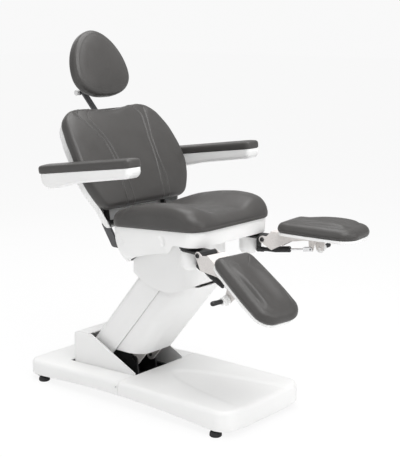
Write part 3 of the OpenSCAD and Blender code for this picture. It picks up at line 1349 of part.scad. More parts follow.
// Gas spring, +X from its tube's joint to its rod's joint as photographed
function joint_at(drop) = [gas_joint_x * cos(drop) + gas_joint_z * sin(drop),
  gas_joint_z * cos(drop) - gas_joint_x * sin(drop)];
function spring_run(drop) = norm(joint_at(drop) - [gas_foot_x, gas_foot_z]);
function spring_tip(drop) = let (p = joint_at(drop) - [gas_foot_x, gas_foot_z]) atan2(p[1], p[0]);
module on_spring(swing, drop) {
  on_post(swing) translate([knee_x + gas_foot_x, 0, gas_foot_z])
    rotate([0, -spring_tip(drop), 0]) children();
}
spring_start = 18;
boot_l = 66;
module gas_tube(swing, drop) color(black) on_spring(swing, drop) difference() {
  union() {
    for (s = [-1, 1]) let (y = s * (gas_lug_t / 2 + side_gap / 2 + gas_fork_t / 2))
      standing(y - gas_fork_t / 2, y + gas_fork_t / 2)
        link_outline(0, 0, 2 * gas_pin_r, spring_start, 0, gas_tube_d / 2);
    translate([spring_start - gas_fork_t, 0, 0]) rotate([0, 90, 0])
      cylinder(r = gas_lug_t / 2 + side_gap + gas_fork_t, h = 2 * gas_fork_t, $fn = pin_fn);
    translate([spring_start, 0, 0]) rotate([0, 90, 0])
      cylinder(d = gas_tube_d, h = gas_tube_l - spring_start, $fn = pin_fn);
    translate([gas_tube_l - boot_l, 0, 0]) rotate([0, 90, 0])
      cylinder(d = gas_boot_d, h = boot_l, $fn = pin_fn);
  }
  across(0, 0, gas_pin_r + pin_gap, -gas_boot_d, gas_boot_d);
  translate([spring_start + 3 * gas_fork_t, 0, 0]) rotate([0, 90, 0])
    cylinder(r = gas_rod_d / 2 + pin_gap, h = gas_tube_l, $fn = pin_fn);
}
gas_rod_in = 100;
fork_in = 4.5;
fork_l = 34;
module gas_rod(swing, drop) color(chrome) on_spring(swing, drop) {
  l = spring_run(drop);
  translate([l - fork_l - gas_rod_in, 0, 0]) rotate([0, 90, 0])
    cylinder(d = gas_rod_d, h = gas_rod_in + gas_fork_t, $fn = pin_fn);
  translate([l - fork_l, 0, 0]) rotate([0, 90, 0])
    cylinder(r = fork_in + gas_fork_t, h = gas_fork_t, $fn = pin_fn);
  for (s = [-1, 1]) let (y = s * (fork_in + gas_fork_t / 2))
    standing(y - gas_fork_t / 2, y + gas_fork_t / 2) difference() {
      link_outline(l - fork_l, 0, gas_tube_d / 2, l, 0, gas_tube_d / 2);
      translate([l, 0]) circle(gas_pin_r, $fn = pin_fn);
      translate([l - fork_l - 2 * gas_tube_d, -gas_tube_d]) square([2 * gas_tube_d,
        2 * gas_tube_d]);
    }
}

disc_t = 10;
grip_l = 54;
module release_handle(swing, drop) color(white) on_leg(swing, drop) {
  y = flange_w / 2 + side_gap;
  across(handle_x, handle_z, handle_r, flange_w / 2 - 2 * flange_t, y + disc_t);
  across(handle_x, handle_z, 4 * handle_r, y, y + disc_t, 48);
  across(handle_x, handle_z, 2 * handle_r, y + disc_t, y + 2 * disc_t);
  across(handle_x, handle_z, 3 * handle_r, y + 2 * disc_t, y + 3 * disc_t);
  across(handle_x, handle_z, 2 * handle_r, y + 3 * disc_t, y + 3 * disc_t + grip_l);
}

module left_swivel_cup() swivel_cup(left_swing);
module left_swivel_arm() swivel_arm(left_swing);
module left_leg_bracket() leg_bracket(left_swing, left_drop);
module left_leg_tray() leg_tray(left_swing, left_drop);
module left_leg_cushion() leg_cushion(left_swing, left_drop);
module left_gas_tube() gas_tube(left_swing, left_drop);
module left_gas_rod() gas_rod(left_swing, left_drop);
module left_release_handle() release_handle(left_swing, left_drop);
module right_swivel_cup() mirror([0, 1, 0]) swivel_cup(right_swing);
module right_swivel_arm() mirror([0, 1, 0]) swivel_arm(right_swing);
module right_leg_bracket() mirror([0, 1, 0]) leg_bracket(right_swing, right_drop);
module right_leg_tray() mirror([0, 1, 0]) leg_tray(right_swing, right_drop);
module right_leg_cushion() mirror([0, 1, 0]) leg_cushion(right_swing, right_drop);
module right_gas_tube() mirror([0, 1, 0]) gas_tube(right_swing, right_drop);
module right_gas_rod() mirror([0, 1, 0]) gas_rod(right_swing, right_drop);
module right_release_handle() mirror([0, 1, 0]) release_handle(right_swing, right_drop);

base_frame();
lift_pivot_bracket();
base_rear_cover();
base_front_cover();
pedestal_shroud();
lift_motor();
control_box();
power_inlet();
roller_axle();
foot_front_right();
foot_front_left();
foot_rear_right();
foot_rear_left();
roller_right();
roller_left();
rear_lift_arm();
column_rear_cover();
front_lift_link();
column_front_cover();
lift_rod();
head_frame();
head_cover();
tilt_motor();
tilt_rod();
seat_frame();
seat_shell();
seat_cushion();
back_hinge_brackets();
leg_mount_plates();
back_motor();
back_rod();
back_frame();
back_shell();
back_cushion();
headrest_guide();
headrest_bar();
headrest_bracket();
headrest_cushion();
right_arm_body();
right_arm_pad();
left_arm_body();
left_arm_pad();
right_swivel_cup();
right_swivel_arm();
right_leg_bracket();
right_leg_tray();
right_leg_cushion();
right_gas_tube();
right_gas_rod();
right_release_handle();
left_swivel_cup();
left_swivel_arm();
left_leg_bracket();
left_leg_tray();
left_leg_cushion();
left_gas_tube();
left_gas_rod();
left_release_handle();
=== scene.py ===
"""Podiatry chair: upholstery, moulded shells, small fittings, finishes and stage.

Lengths in the shape functions are millimetres in the chair's own frame: the sitter
faces +X, +Y is the sitter's left and the floor is z = 0. Meshes are made in metres.
"""

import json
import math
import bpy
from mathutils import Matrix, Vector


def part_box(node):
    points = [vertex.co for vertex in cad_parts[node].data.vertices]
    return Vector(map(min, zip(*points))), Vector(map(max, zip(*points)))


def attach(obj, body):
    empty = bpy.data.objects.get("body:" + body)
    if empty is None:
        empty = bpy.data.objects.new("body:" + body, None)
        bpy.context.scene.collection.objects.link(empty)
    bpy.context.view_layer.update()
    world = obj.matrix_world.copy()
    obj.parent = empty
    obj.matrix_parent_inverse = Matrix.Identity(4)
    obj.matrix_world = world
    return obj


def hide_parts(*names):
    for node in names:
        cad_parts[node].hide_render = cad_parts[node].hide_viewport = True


bl_info = {
    "name": "Podiatry Chair",
    "version": (1, 0, 0),
    "blender": (4, 5, 0),
    "location": "View3D > Sidebar > Chair",
    "description": "Builds the upholstery, shells, fittings and stage of a podiatry chair",
    "category": "Object",
}

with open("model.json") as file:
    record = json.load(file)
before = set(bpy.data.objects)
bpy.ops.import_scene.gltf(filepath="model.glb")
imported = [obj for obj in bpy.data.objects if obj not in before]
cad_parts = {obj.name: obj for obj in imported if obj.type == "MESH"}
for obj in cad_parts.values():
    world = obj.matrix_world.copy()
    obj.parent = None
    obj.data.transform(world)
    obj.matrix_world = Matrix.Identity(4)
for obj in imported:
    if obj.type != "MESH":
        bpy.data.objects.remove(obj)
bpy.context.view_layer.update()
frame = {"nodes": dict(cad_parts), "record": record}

import bmesh
import bpy
import numpy as np
from bpy.props import FloatProperty, FloatVectorProperty, PointerProperty
from mathutils import Matrix, Vector

MM = 0.001
REST_GAP = 0.3          # between a cushion and the shell that it rests on
OVERRUN = 1             # how far a cut runs past the face that it opens
RIM = 1.5               # thickness of a moulding at its rim, where it closes

# Sizes that the CAD model also uses, in millimetres and degrees, and shares of them
BASE = dict(rear=-742, front=436, w=524, top=110, rear_top=88, edge=27, arch=22, wall=4,
            rounding=20, round_share=0.8, corner=70, seam=-155, gap=1.2, seam_gap=2.4,
            dish_d=6, dish_w=175, dish_start=88, dish_edge=34, dish_power=0.42,
            foot_front=366, foot_base=1008, shroud_z=34, inlet_d=20, screw_x=-168, screw_z=84,
            screw_r=4.5, front_rows=56, front_columns=64, rear_rows=40, rear_columns=8)
SEAT = dict(x=-206, z=777, lean=3.5, w=520, l=484, front_r=74, rear_r=52, edge_r=26, nose=62,
            inset=5, rear_gap=10, shoulder=46, shoulder_share=0.62, rear_fall_share=0.6,
            fall_share=0.72, trough_share=0.3, ramp_share=0.6, spread=24,
            rows=46, columns=44, pressure=2.0)
SEAT_CREST = ((0, 50), (30, 60), (120, 85), (223, 99), (315, 103), (390, 96), (450, 77), (484, 62))
SEAT_MIDDLE = ((0, 46), (60, 50), (200, 56), (350, 58), (450, 50), (484, 42))
BACK = dict(x=-205, z=846, lean=16, bend=860, l=480, w=636, low_w=504, top_w=530, side=50,
            crown=10, dip=22, dip_power=4, dip_w_share=0.8, foot_r=40, shoulder_r=75, rim_r=22,
            rim_h_share=0.42, rim_r_share=0.3, inset=5, spread=0.03, rows=60, pressure=1.5,
            swell_share=0.7)
BACK_RISE = ((0, 0), (0.13, 0.5), (0.2, 0.74), (0.33, 1))
BACK_FALL = ((0.48, 0), (0.7, 0.2), (0.86, 0.6), (1, 1))
INNER_WELT = ((0, 0.29), (0.17, 0.308), (0.4, 0.352), (0.6, 0.385), (0.96, 0.557))
OUTER_WELT = ((0, 0.415), (0.17, 0.434), (0.4, 0.415), (0.6, 0.45), (0.96, 0.68))
WELT = ((-9, 0), (-7, -0.7), (-5, -0.6), (-3.4, 0.9), (-1.8, 2.5), (0, 3.1), (1.8, 2.5),
        (3.4, 0.9), (5, -0.6), (7, -0.7), (9, 0))
WELT_W = WELT[-1][0]
WELT_SPREAD, INNER_LIMIT_SHARE, OUTER_LIMIT_SHARE = 0.04, 0.6, 0.86
STITCH_COLUMNS = (28, 34, 42, 48)
STITCH_SHIFT = 7        # the far side's stitch columns lie this many columns further out
STITCH_ROWS = (6, 7)    # rows without stitches at the cushion's foot and top
SHELL = dict(x0=-211, x1=268, w=492, r=62, wall=4, rear_z=602, front_z=742, half=0.68,
             half_run=1.5, bulge=2.6, draw=4, mouth_x0=-199, mouth_x1=158, mouth_w=300,
             mouth_r=40, mouth_z=1.5, spread=0.02, post_r=19, post_z=700, post_run=80,
             rear_cut=(-212, -180), hinge_y=(186, 200), hinge_z=(666, 718), crank_y=(-24, 24),
             crank_z=(682, 731))
SHELL_DEPTHS = (1, 0.985, 0.965, *(0.94 - 0.02 * k for k in range(47)), 0)
SHELL_RISE = ((0, 0), (0.2, 0.31), (0.38, 0.51), (0.52, 0.615), (0.69, 0.76), (0.72, 0.8),
              (0.735, 1), (1, 1))
HOLLOWS = ((-146, 727), (87, 752))
HOLLOW = dict(depth=9, a=16, b=25, along=0.9, slant=0.42)
BACK_SHELL = dict(low=-80, lip=10, d=58, corner=44, end=26, slope=0.4, wall=4,
                  corner_share=0.8, shoulder_share=0.8, rows=54)
RECLINE = dict(x=-280, z=770, r=19, tube_r=10, tube_y=187, swing=68, swing_from=-10,
               swing_to=-151, plate_y=(185, 201), crank_l=72, crank_r=17, crank_y=(-22, 22),
               crank_lean=28, screw_y=199, screw_r=12)
HEADREST = dict(x=-425, z=1296, lean=21, l=300, w=318, t=54, crown=20, crown_power=0.8,
                wide=0.36, low=2.3, high=1.85, middle_share=1.15, edge_r=22, inset=5,
                rows=90, around=52, pressure=1.5, swell_share=0.6)
HEAD_BAR = dict(x=-598, z=1297, lean=43, t=18.1, w=40.1, l=180, knob_y=25)
ARM = dict(w=842, pad_l=530, pad_w=84, pad_t=38, x=-448, z=990, lean=8, body_w=78, rear=6.4,
           rear_r=60, rear_x=66, rear_sweep=1.1, front_r=34, plan_r=24, lower_r=15,
           lower_h_share=0.6, lower_w_share=0.7, tube_r=12.3, tube_run=100, tube_drop=34,
           tube_depth=80, spread=30, pad_r=20, pad_crown=4, pad_edge=13, pad_inset=2,
           pad_groove=0.7, pad_under=2, pad_rings=7, rows=60, around=60, end_gap=0.1)
ARM_DEPTH = ((0, 66), (66, 66), (148, 55.4), (244, 46.8), (496, 42), (530, 42))
LEG = dict(post_x=191, post_y=190, knee_x=95, knee_z=722, l=350, knee_w=190, w=216, h=44,
           bolster=16, start=94, shift=14, tray_z=39, tray_t=12, knee_r=40, knee_share=0.7,
           far_r=60, handle_x=220, handle_z=-28, handle_y=-7.5, flange_w=98, shoulder=32,
           inset=5, crown=3, spread=26, w_spread=0.04, spine_near=100, spine_far=110,
           screw_y=49.6, screw_r=10, rows=90, around=56, groove=0.3, rings=16, pressure=1.5,
           swell_share=0.7, rise=5, crown_rise=2)
LEG_LIFT = ((0, 0), (60, 0.12), (150, 0.8), (210, 1), (270, 0.9), (315, 0.35), (350, 0))
LEG_WIDTH = ((0, 0), (0.3, 0.62), (0.62, 1), (0.85, 0.86), (1, 0.5))
LEG_POSE = {"left": (6, 0), "right": (7.5, 33)}
GAS_SPRING = dict(eye_x=205, eye_z=-25, foot_x=-43, foot_z=-56)

# A pillow's side and a pad's side from the lower edge up: how much of the inset is left, as a
# share, at each share of the height; a pad's next row stands in by PAD_BELLY
PILLOW_SIDE = ((1, 0), (0.35, 0.14), (0.08, 0.3), (0, 0.45))
PILLOW_ARC, PILLOW_UNDER = 8, 8
PILLOW_HELD = PILLOW_UNDER - 1 + len(PILLOW_SIDE)
PAD_SIDE = ((1, 0), (0.4, 0.12))
PAD_BELLY, PAD_BELLY_SHARE, PAD_WIDEST_SHARE = 0.6, 0.26, 0.4
PAD_UNDER, PAD_HELD_ROWS, PAD_ARC, PAD_CLOSING = 4, 6, 10, 0.98
GROOVE_STEP, GROOVE_DROP = 7, 0.6

# The cloth of a cover that is blown up over its foam
COVER = dict(quality=5, mass=0.3, tension_stiffness=25, compression_stiffness=25,
             shear_stiffness=12, bending_stiffness=2, use_pressure=True)
COVER_FRAMES = 14

# Turned profiles, as (radius, height)
RELEASE_DISCS = ((0.01, 0), (5, 0), (5, 8.5), (19.5, 8.5), (20, 11), (20, 18), (17, 18.6),
                 (10, 19), (10, 28.5), (15, 28.5), (15, 38), (6, 38.5), (0.01, 38.5))
RELEASE_GRIP = ((0.01, 38), (8.5, 38), (9.4, 44), (9.0, 58), (10, 84), (7.5, 92), (0.01, 92))
HEAD_KNOB = ((0.01, 0), (5, 0), (5, 5), (11, 7), (13, 12), (13, 20), (10, 24), (0.01, 24.5))
BOOT_LOWER = ((8.3, 44), (9.2, 44.5), (9.6, 50), (11.2, 64), (12.9, 80))
BOOT_RIB = ((13.0, 86), (12.6, 88), (12.6, 90), (13.0, 92))
BOOT_UPPER = ((13.0, 146), (12.4, 150), (8.3, 150.4))
BOOT_RIBS, BOOT_PITCH = 7, 8
DISC_ROUND, GRIP_ROUND, KNOB_ROUND = 1.6, 3.2, 1.8
DISC_STEPS, GRIP_STEPS, KNOB_STEPS, GRIP_ARC = 64, 48, 48, 5

# A screw's dome and socket as shares of its radius, and a stitch's taper along its length
SCREW_DOME = ((1, 0), (1, 0.14), (0.94, 0.3), (0.8, 0.44), (0.62, 0.52))
SCREW_SOCKET = (0.54, 0.2)
SOCKET_SHARE = 0.42
TAPER = ((0, 0.3), (0.2, 0.9), (0.5, 1.15), (0.8, 0.9), (1, 0.3))
STITCH_SIDES, STITCH_MARGIN, STITCH_GAP, STITCH_R = 6, 6.0, 2.4, 0.42

# Finishes: a noise is given as (scale, low, high) or (scale, detail), depths are in metres
NOISE_LOW, NOISE_HIGH = 0.3, 0.7
# The leather's colour is lightened on convex edges by pointiness: a painted highlight; this table
# holds its pointiness range and how much lighter it makes the colour
LEATHER = dict(mottle=(9, 0.93, 1.06), gloss=(26, 0.36, 0.46), painted_highlight_from=0.5, painted_highlight_to=0.62,
               painted_highlight=1.22, pebbles=620, pebble_depth=0.0004, creases=(34, 3), crease_depth=0.0012,
               crease_strength=0.35, specular=0.38, sheen=0.04, sheen_roughness=0.4)
PLASTIC = dict(mottle=(3.5, 0.985, 1.01), gloss=14, bump=(90, 2), depth=0.001)
COATING = dict(mottle=(220, 0.9, 1.06), gloss=40, edge_r=0.0008, detail=2, depth=0.0004)
CHROME = dict(colour=(0.8, 0.8, 0.81), mottle=(30, 0.92, 1.0), gloss=(120, 0.08, 0.2),
              edge=(0.0005, 300, 4, 0.02, 0.0003))
FLOOR = dict(mottle=(2.0, 0.99, 1.0), roughness=0.7, specular=0.1, reach=30.0, glow=0.9)

# Lamps' sizes and places in metres, and powers in watts where no setting gives them
LAMPS = {"key": ((2.4, 2.4), (2.0, -1.2, 3.8)), "side": ((2.2, 2.2), (-1.2, -3.6, 2.0)),
         "fill": ((2.6, 2.2), (3.6, 0.9, 2.2)), "top": ((2.6, 2.6), (-0.4, 0.4, 4.0)),
         "rear": ((2.4, 1.8), (-3.2, 1.8, 2.4))}
SIDE_POWER, TOP_POWER, REAR_POWER = 15, 84, 13
CHAIR_MIDDLE = (0, 0, 0.8)
SOFT_LIGHT, BRIGHT_GREY = 0.42, 0.945
CAMERA_PLACE, CAMERA_AIM = (2.862, -3.315, 1.653), (0.081, 0, 0.7647)


# Curves and tables

def between(a, b, u):
    return a + (b - a) * u


def clamped(u, low=0.0, high=1.0):
    return max(low, min(high, u))


def eased(u):
    return u * u * (3 - 2 * u)


def drawn_in(d, r):
    """How far a rounded end of radius r has drawn in at a distance d from it."""
    return 0.0 if d >= r else r - math.sqrt(max(0.0, r * r - (r - d) * (r - d)))


def straight(table, u):
    for (a, p), (b, q) in zip(table, table[1:]):
        if u <= b:
            return between(p, q, clamped((u - a) / (b - a)))
    return table[-1][1]


def smooth(table, u, spread):
    """A table's value with its corners rounded over a small spread."""
    return sum(straight(table, u + k * spread / 2) * s
               for k, s in ((-2, 1), (-1, 2), (0, 3), (1, 2), (2, 1))) / 9


def end_rows(n):
    """Shares from 0 to 1, closer together near both ends."""
    return [(1 - math.cos(math.pi * i / n)) / 2 for i in range(n + 1)]


def quarter(cx, cy, r, start, n=8):
    return [(cx + r * math.cos(math.radians(start + 90 * k / n)),
             cy + r * math.sin(math.radians(start + 90 * k / n))) for k in range(n + 1)]


def pair(way, low, high):
    """Two distances from the middle, on the side that way gives, the lower value first."""
    return sorted((way * low, way * high))


# Meshes

def shade(piece, angle=40):
    for face in piece.data.polygons:
        face.use_smooth = True
    piece.data.set_sharp_from_angle(angle=math.radians(angle))


def add_piece(name, points, faces, place=None, mirrored=False, angle=40):
    """New mesh object from millimetre points, put in place, mirrored to -Y if asked."""
    place = place or Matrix.Identity(4)
    placed = []
    for p in points:
        q = place @ Vector(p)
        placed.append((q.x * MM, (-q.y if mirrored else q.y) * MM, q.z * MM))
    mesh = bpy.data.meshes.new(name)
    mesh.from_pydata(placed, [], faces)
    work = bmesh.new()
    work.from_mesh(mesh)
    bmesh.ops.recalc_face_normals(work, faces=work.faces)
    work.to_mesh(mesh)
    work.free()
    piece = bpy.data.objects.new(name, mesh)
    bpy.context.scene.collection.objects.link(piece)
    shade(piece, angle)
    return piece


def skin(n, rows, closed=False):
    """Quads between matching rings of n points."""
    return [(i * n + j, i * n + (j + 1) % n, ((i + 1) % rows) * n + (j + 1) % n,
             ((i + 1) % rows) * n + j)
            for i in range(rows if closed else rows - 1) for j in range(n)]


def zipped(n, first):
    """Quads across a symmetric ring, from its right half to its left half."""
    return [(first + j, first + j + 1, first + n - 2 - j, first + n - 1 - j)
            for j in range(n // 2 - 1)]


def joined(rings):
    return [p for ring in rings for p in ring]


def lofted(name, rings, place=None, mirrored=False, angle=40):
    """Mesh over symmetric rings, with quads across the first and the last."""
    n, m = len(rings[0]), len(rings)
    faces = skin(n, m) + zipped(n, 0) + zipped(n, (m - 1) * n)
    return add_piece(name, joined(rings), faces, place, mirrored, angle)


def circle(r, z, steps):
    return [(r * math.cos(2 * math.pi * k / steps), r * math.sin(2 * math.pi * k / steps), z)
            for k in range(steps)]


def capped(name, rings, place, mirrored=False, angle=40):
    """Mesh over rings, with one flat face on the first and one on the last."""
    n, m = len(rings[0]), len(rings)
    faces = skin(n, m) + [tuple(range(n)), tuple((m - 1) * n + k for k in range(n))]
    return add_piece(name, joined(rings), faces, place, mirrored, angle)


def turned(name, profile, place, steps=40, mirrored=False):
    """Lathe piece: profile of (radius, height) pairs round the place's own +Z."""
    return capped(name, [circle(r, z, steps) for r, z in profile], place, mirrored)


def rounded(profile, r, n=4):
    """Corners of a (radius, height) profile rounded by short arcs."""
    out = [profile[0]]
    for a, b, c in zip(profile, profile[1:], profile[2:]):
        a, b, c = Vector(a), Vector(b), Vector(c)
        reach = min(r, (a - b).length / 2, (c - b).length / 2)
        p, q = b + (a - b).normalized() * reach, b + (c - b).normalized() * reach
        for k in range(n + 1):
            u = k / n
            out.append(tuple((1 - u) ** 2 * p + 2 * u * (1 - u) * b + u ** 2 * q))
    return out + [profile[-1]]


def subdivided(piece):
    modifier = piece.modifiers.new("smoothing", "SUBSURF")
    modifier.levels = modifier.render_levels = 1


def cut_away(piece, cutters):
    """Cut the cutters out of the piece's mesh and remove them."""
    for cutter in cutters:
        modifier = piece.modifiers.new("opening", "BOOLEAN")
        modifier.operation = "DIFFERENCE"
        modifier.object = cutter
        modifier.solver = "EXACT"
    graph = bpy.context.evaluated_depsgraph_get()
    graph.update()
    mesh = bpy.data.meshes.new_from_object(piece.evaluated_get(graph))
    piece.modifiers.clear()
    piece.data = mesh
    for cutter in cutters:
        bpy.data.objects.remove(cutter)
    shade(piece)


def block(x0, x1, y0, y1, z0, z1, place=None):
    points = [(x, y, z) for x in (x0, x1) for y in (y0, y1) for z in (z0, z1)]
    faces = [(0, 1, 3, 2), (4, 6, 7, 5), (0, 4, 5, 1), (2, 3, 7, 6), (0, 2, 6, 4), (1, 5, 7, 3)]
    return add_piece("cutter", points, faces, place)


def across(x, z, y0, way=1):
    """Place whose +Z runs along Y from y0, at x and z, or against Y when way is -1."""
    return Matrix.Translation((x, y0, z)) @ Matrix.Rotation(math.radians(-90 * way), 4, "X")


def bar(r, x, z, y0, y1):
    return turned("cutter", [(r, 0), (r, y1 - y0)], across(x, z, y0))


def standing(outline, y0, y1):
    """Prism of an (x, z) outline from y0 to y1."""
    n = len(outline)
    faces = [tuple(range(n)), tuple(range(n, 2 * n))] + skin(n, 2)
    return add_piece("cutter", [(x, y, z) for y in (y0, y1) for x, z in outline], faces)


def filled_out(piece, held, pressure, cap):
    """Blow a cover up like cloth over foam, keep the held points, and cap how far it moves."""
    scene = bpy.context.scene
    piece.vertex_groups.new(name="held").add(held, 1.0, "REPLACE")
    cloth = piece.modifiers.new("cover", "CLOTH")
    for name, value in COVER.items():
        setattr(cloth.settings, name, value)
    cloth.settings.uniform_pressure_force = pressure
    cloth.settings.vertex_group_mass = "held"
    cloth.settings.effector_weights.gravity = 0
    cloth.collision_settings.use_collision = False
    cloth.point_cache.frame_start, cloth.point_cache.frame_end = 1, COVER_FRAMES
    for k in range(1, COVER_FRAMES + 1):
        scene.frame_set(k)
    graph = bpy.context.evaluated_depsgraph_get()
    after = piece.evaluated_get(graph).data
    count = len(piece.data.vertices)
    old, new = np.zeros(count * 3), np.zeros(count * 3)
    piece.data.vertices.foreach_get("co", old)
    after.vertices.foreach_get("co", new)
    move = (new - old).reshape(-1, 3)
    size = np.linalg.norm(move, axis=1, keepdims=True)
    limit = cap * MM
    move *= limit * np.tanh(size / limit) / np.maximum(size, 1e-9)
    piece.modifiers.remove(cloth)
    piece.vertex_groups.clear()
    piece.data.vertices.foreach_set("co", (old.reshape(-1, 3) + move).ravel())
    piece.data.update()
    scene.frame_set(1)


# Places

def leaned(sizes):
    """Place at a piece's own rear end, with its +X raised by the piece's lean."""
    return (Matrix.Translation((sizes["x"], 0, sizes["z"]))
            @ Matrix.Rotation(math.radians(-sizes["lean"]), 4, "Y"))


def on_post(side):
    return (Matrix.Translation((LEG["post_x"], LEG["post_y"], LEG["knee_z"]))
            @ Matrix.Rotation(math.radians(LEG_POSE[side][0]), 4, "Z"))


def on_leg(side):
    return (on_post(side) @ Matrix.Translation((LEG["knee_x"], 0, 0))
            @ Matrix.Rotation(math.radians(LEG_POSE[side][1]), 4, "Y"))


def on_gas_spring(side):
    """Place at the gas spring's lower end, with +Z along the spring."""
    g = GAS_SPRING
    drop = math.radians(LEG_POSE[side][1])
    x = g["eye_x"] * math.cos(drop) + g["eye_z"] * math.sin(drop) - g["foot_x"]
    z = g["eye_z"] * math.cos(drop) - g["eye_x"] * math.sin(drop) - g["foot_z"]
    return (on_post(side) @ Matrix.Translation((LEG["knee_x"] + g["foot_x"], 0, g["foot_z"]))
            @ Matrix.Rotation(-math.atan2(z, x), 4, "Y")
            @ Matrix.Rotation(math.radians(90), 4, "Y"))


def on_back(s, y, n):
    lean = math.radians(BACK["lean"])
    a = lean + s / BACK["bend"]
    return (BACK["x"] + (BACK["bend"] + n) * math.cos(a) - BACK["bend"] * math.cos(lean), y,
            BACK["z"] + (BACK["bend"] + n) * math.sin(a) - BACK["bend"] * math.sin(lean))


def arm_tube():
    """The x and z of the tube that both armrests turn on."""
    lean = math.radians(ARM["lean"])
    return (ARM["x"] + ARM["tube_run"] * math.cos(lean) + ARM["tube_drop"] * math.sin(lean),
            ARM["z"] + ARM["tube_run"] * math.sin(lean) - ARM["tube_drop"] * math.cos(lean))


# Finishes

def new_finish(name):
    """A new material, its node tree and its surface shader."""
    finish = bpy.data.materials.new(name)
    finish.use_nodes = True
    return finish, finish.node_tree, finish.node_tree.nodes["Principled BSDF"]


def set_up(node, **values):
    """Set a node's inputs by name, with _ for a space."""
    for name, value in values.items():
        node.inputs[name.replace("_", " ")].default_value = value
    return node


def add_node(tree, kind, **values):
    return set_up(tree.nodes.new("ShaderNode" + kind), **values)


def noise(tree, coords, scale, detail):
    made = add_node(tree, "TexNoise", Scale=scale, Detail=detail)
    tree.links.new(coords.outputs["Object"], made.inputs["Vector"])
    return made.outputs[0]


def speckle(tree, coords, scale, low, high, detail=4.0):
    """A noise value mapped to the range low to high."""
    spread = add_node(tree, "MapRange", From_Min=NOISE_LOW, From_Max=NOISE_HIGH,
                      To_Min=low, To_Max=high)
    tree.links.new(noise(tree, coords, scale, detail), spread.inputs["Value"])
    return spread.outputs["Result"]


def colour_mix(tree, share, a, b):
    """Colour between a and b; each is a colour or another node's output."""
    mix = tree.nodes.new("ShaderNodeMix")
    mix.data_type = "RGBA"
    tree.links.new(share, mix.inputs["Factor"])
    for name, value in (("A", a), ("B", b)):
        if isinstance(value, tuple):
            mix.inputs[name].default_value = (*value, 1)
        else:
            tree.links.new(value, mix.inputs[name])
    return mix.outputs["Result"]


def shader_mix(tree, share, plain, seen, target):
    """Shader for what isn't seen straight on, and another for what is."""
    mix = tree.nodes.new("ShaderNodeMixShader")
    tree.links.new(share, mix.inputs["Fac"])
    tree.links.new(plain, mix.inputs[1])
    tree.links.new(seen, mix.inputs[2])
    tree.links.new(mix.outputs["Shader"], target)


def bumped(tree, height, strength, distance, normal=None):
    bump = add_node(tree, "Bump", Strength=strength, Distance=distance)
    tree.links.new(height, bump.inputs["Height"])
    if normal:
        tree.links.new(normal, bump.inputs["Normal"])
    return bump.outputs["Normal"]


def scaled_colour(colour, k):
    return tuple(clamped(c * k) for c in colour[:3])


def mottled(tree, coords, colour, scale, dark, light):
    return colour_mix(tree, speckle(tree, coords, scale, 0, 1), scaled_colour(colour, dark),
                      scaled_colour(colour, light))


def leather_finish(colour, grain):
    """Satin synthetic leather: pebbled grain, faint mottling, painted highlight on convex edges.
    """
    s = LEATHER
    finish, tree, surface = new_finish("upholstery_leather")
    links = tree.links
    coords = tree.nodes.new("ShaderNodeTexCoord")
    # Colour lightened where pointiness is high, on convex edges: a painted highlight
    painted_highlight = add_node(tree, "MapRange", From_Min=s["painted_highlight_from"], From_Max=s["painted_highlight_to"])
    convexity = tree.nodes.new("ShaderNodeNewGeometry")
    links.new(convexity.outputs["Pointiness"], painted_highlight.inputs["Value"])
    tint = mottled(tree, coords, colour, *s["mottle"])
    links.new(colour_mix(tree, painted_highlight.outputs["Result"], tint, scaled_colour(colour, s["painted_highlight"])),
              surface.inputs["Base Color"])
    links.new(speckle(tree, coords, *s["gloss"]), surface.inputs["Roughness"])
    pebbles = tree.nodes.new("ShaderNodeTexVoronoi")
    pebbles.feature = "SMOOTH_F1"
    set_up(pebbles, Scale=s["pebbles"])
    links.new(coords.outputs["Object"], pebbles.inputs["Vector"])
    creased = bumped(tree, noise(tree, coords, *s["creases"]), s["crease_strength"],
                     s["crease_depth"])
    links.new(bumped(tree, pebbles.outputs["Distance"], grain, s["pebble_depth"], creased),
              surface.inputs["Normal"])
    set_up(surface, Specular_IOR_Level=s["specular"], Sheen_Weight=s["sheen"],
           Sheen_Roughness=s["sheen_roughness"])
    return finish


def hard_finish(name, colour, mottle, gloss, edge, metallic=0.0):
    """Uneven colour and gloss, edges eased in the shading, and a fine bump.

    mottle is (scale, darkest, lightest), gloss (scale, low, high) and edge (radius, bump's
    scale, bump's detail, strength, distance).
    """
    finish, tree, surface = new_finish(name)
    coords = tree.nodes.new("ShaderNodeTexCoord")
    tree.links.new(mottled(tree, coords, colour, *mottle), surface.inputs["Base Color"])
    tree.links.new(speckle(tree, coords, *gloss), surface.inputs["Roughness"])
    radius, scale, detail, strength, distance = edge
    eased_edge = add_node(tree, "Bevel", Radius=radius)
    eased_edge.samples = 4
    tree.links.new(bumped(tree, speckle(tree, coords, scale, 0, 1, detail), strength, distance,
                          eased_edge.outputs["Normal"]), surface.inputs["Normal"])
    set_up(surface, Metallic=metallic)
    return finish


def plastic_finish(name, colour, low, high, radius, bump):
    """Moulded plastic with a slightly uneven gloss."""
    return hard_finish(name, colour, PLASTIC["mottle"], (PLASTIC["gloss"], low, high),
                       (radius, *PLASTIC["bump"], bump, PLASTIC["depth"]))


def coated_finish(name, colour, low, high, scale, bump):
    """Powder-coated steel with fine orange peel."""
    return hard_finish(name, colour, COATING["mottle"], (COATING["gloss"], low, high),
                       (COATING["edge_r"], scale, COATING["detail"], bump, COATING["depth"]))


def chrome_finish():
    return hard_finish("polished_chrome", CHROME["colour"], CHROME["mottle"], CHROME["gloss"],
                       CHROME["edge"], 1.0)


FINISHES = {}


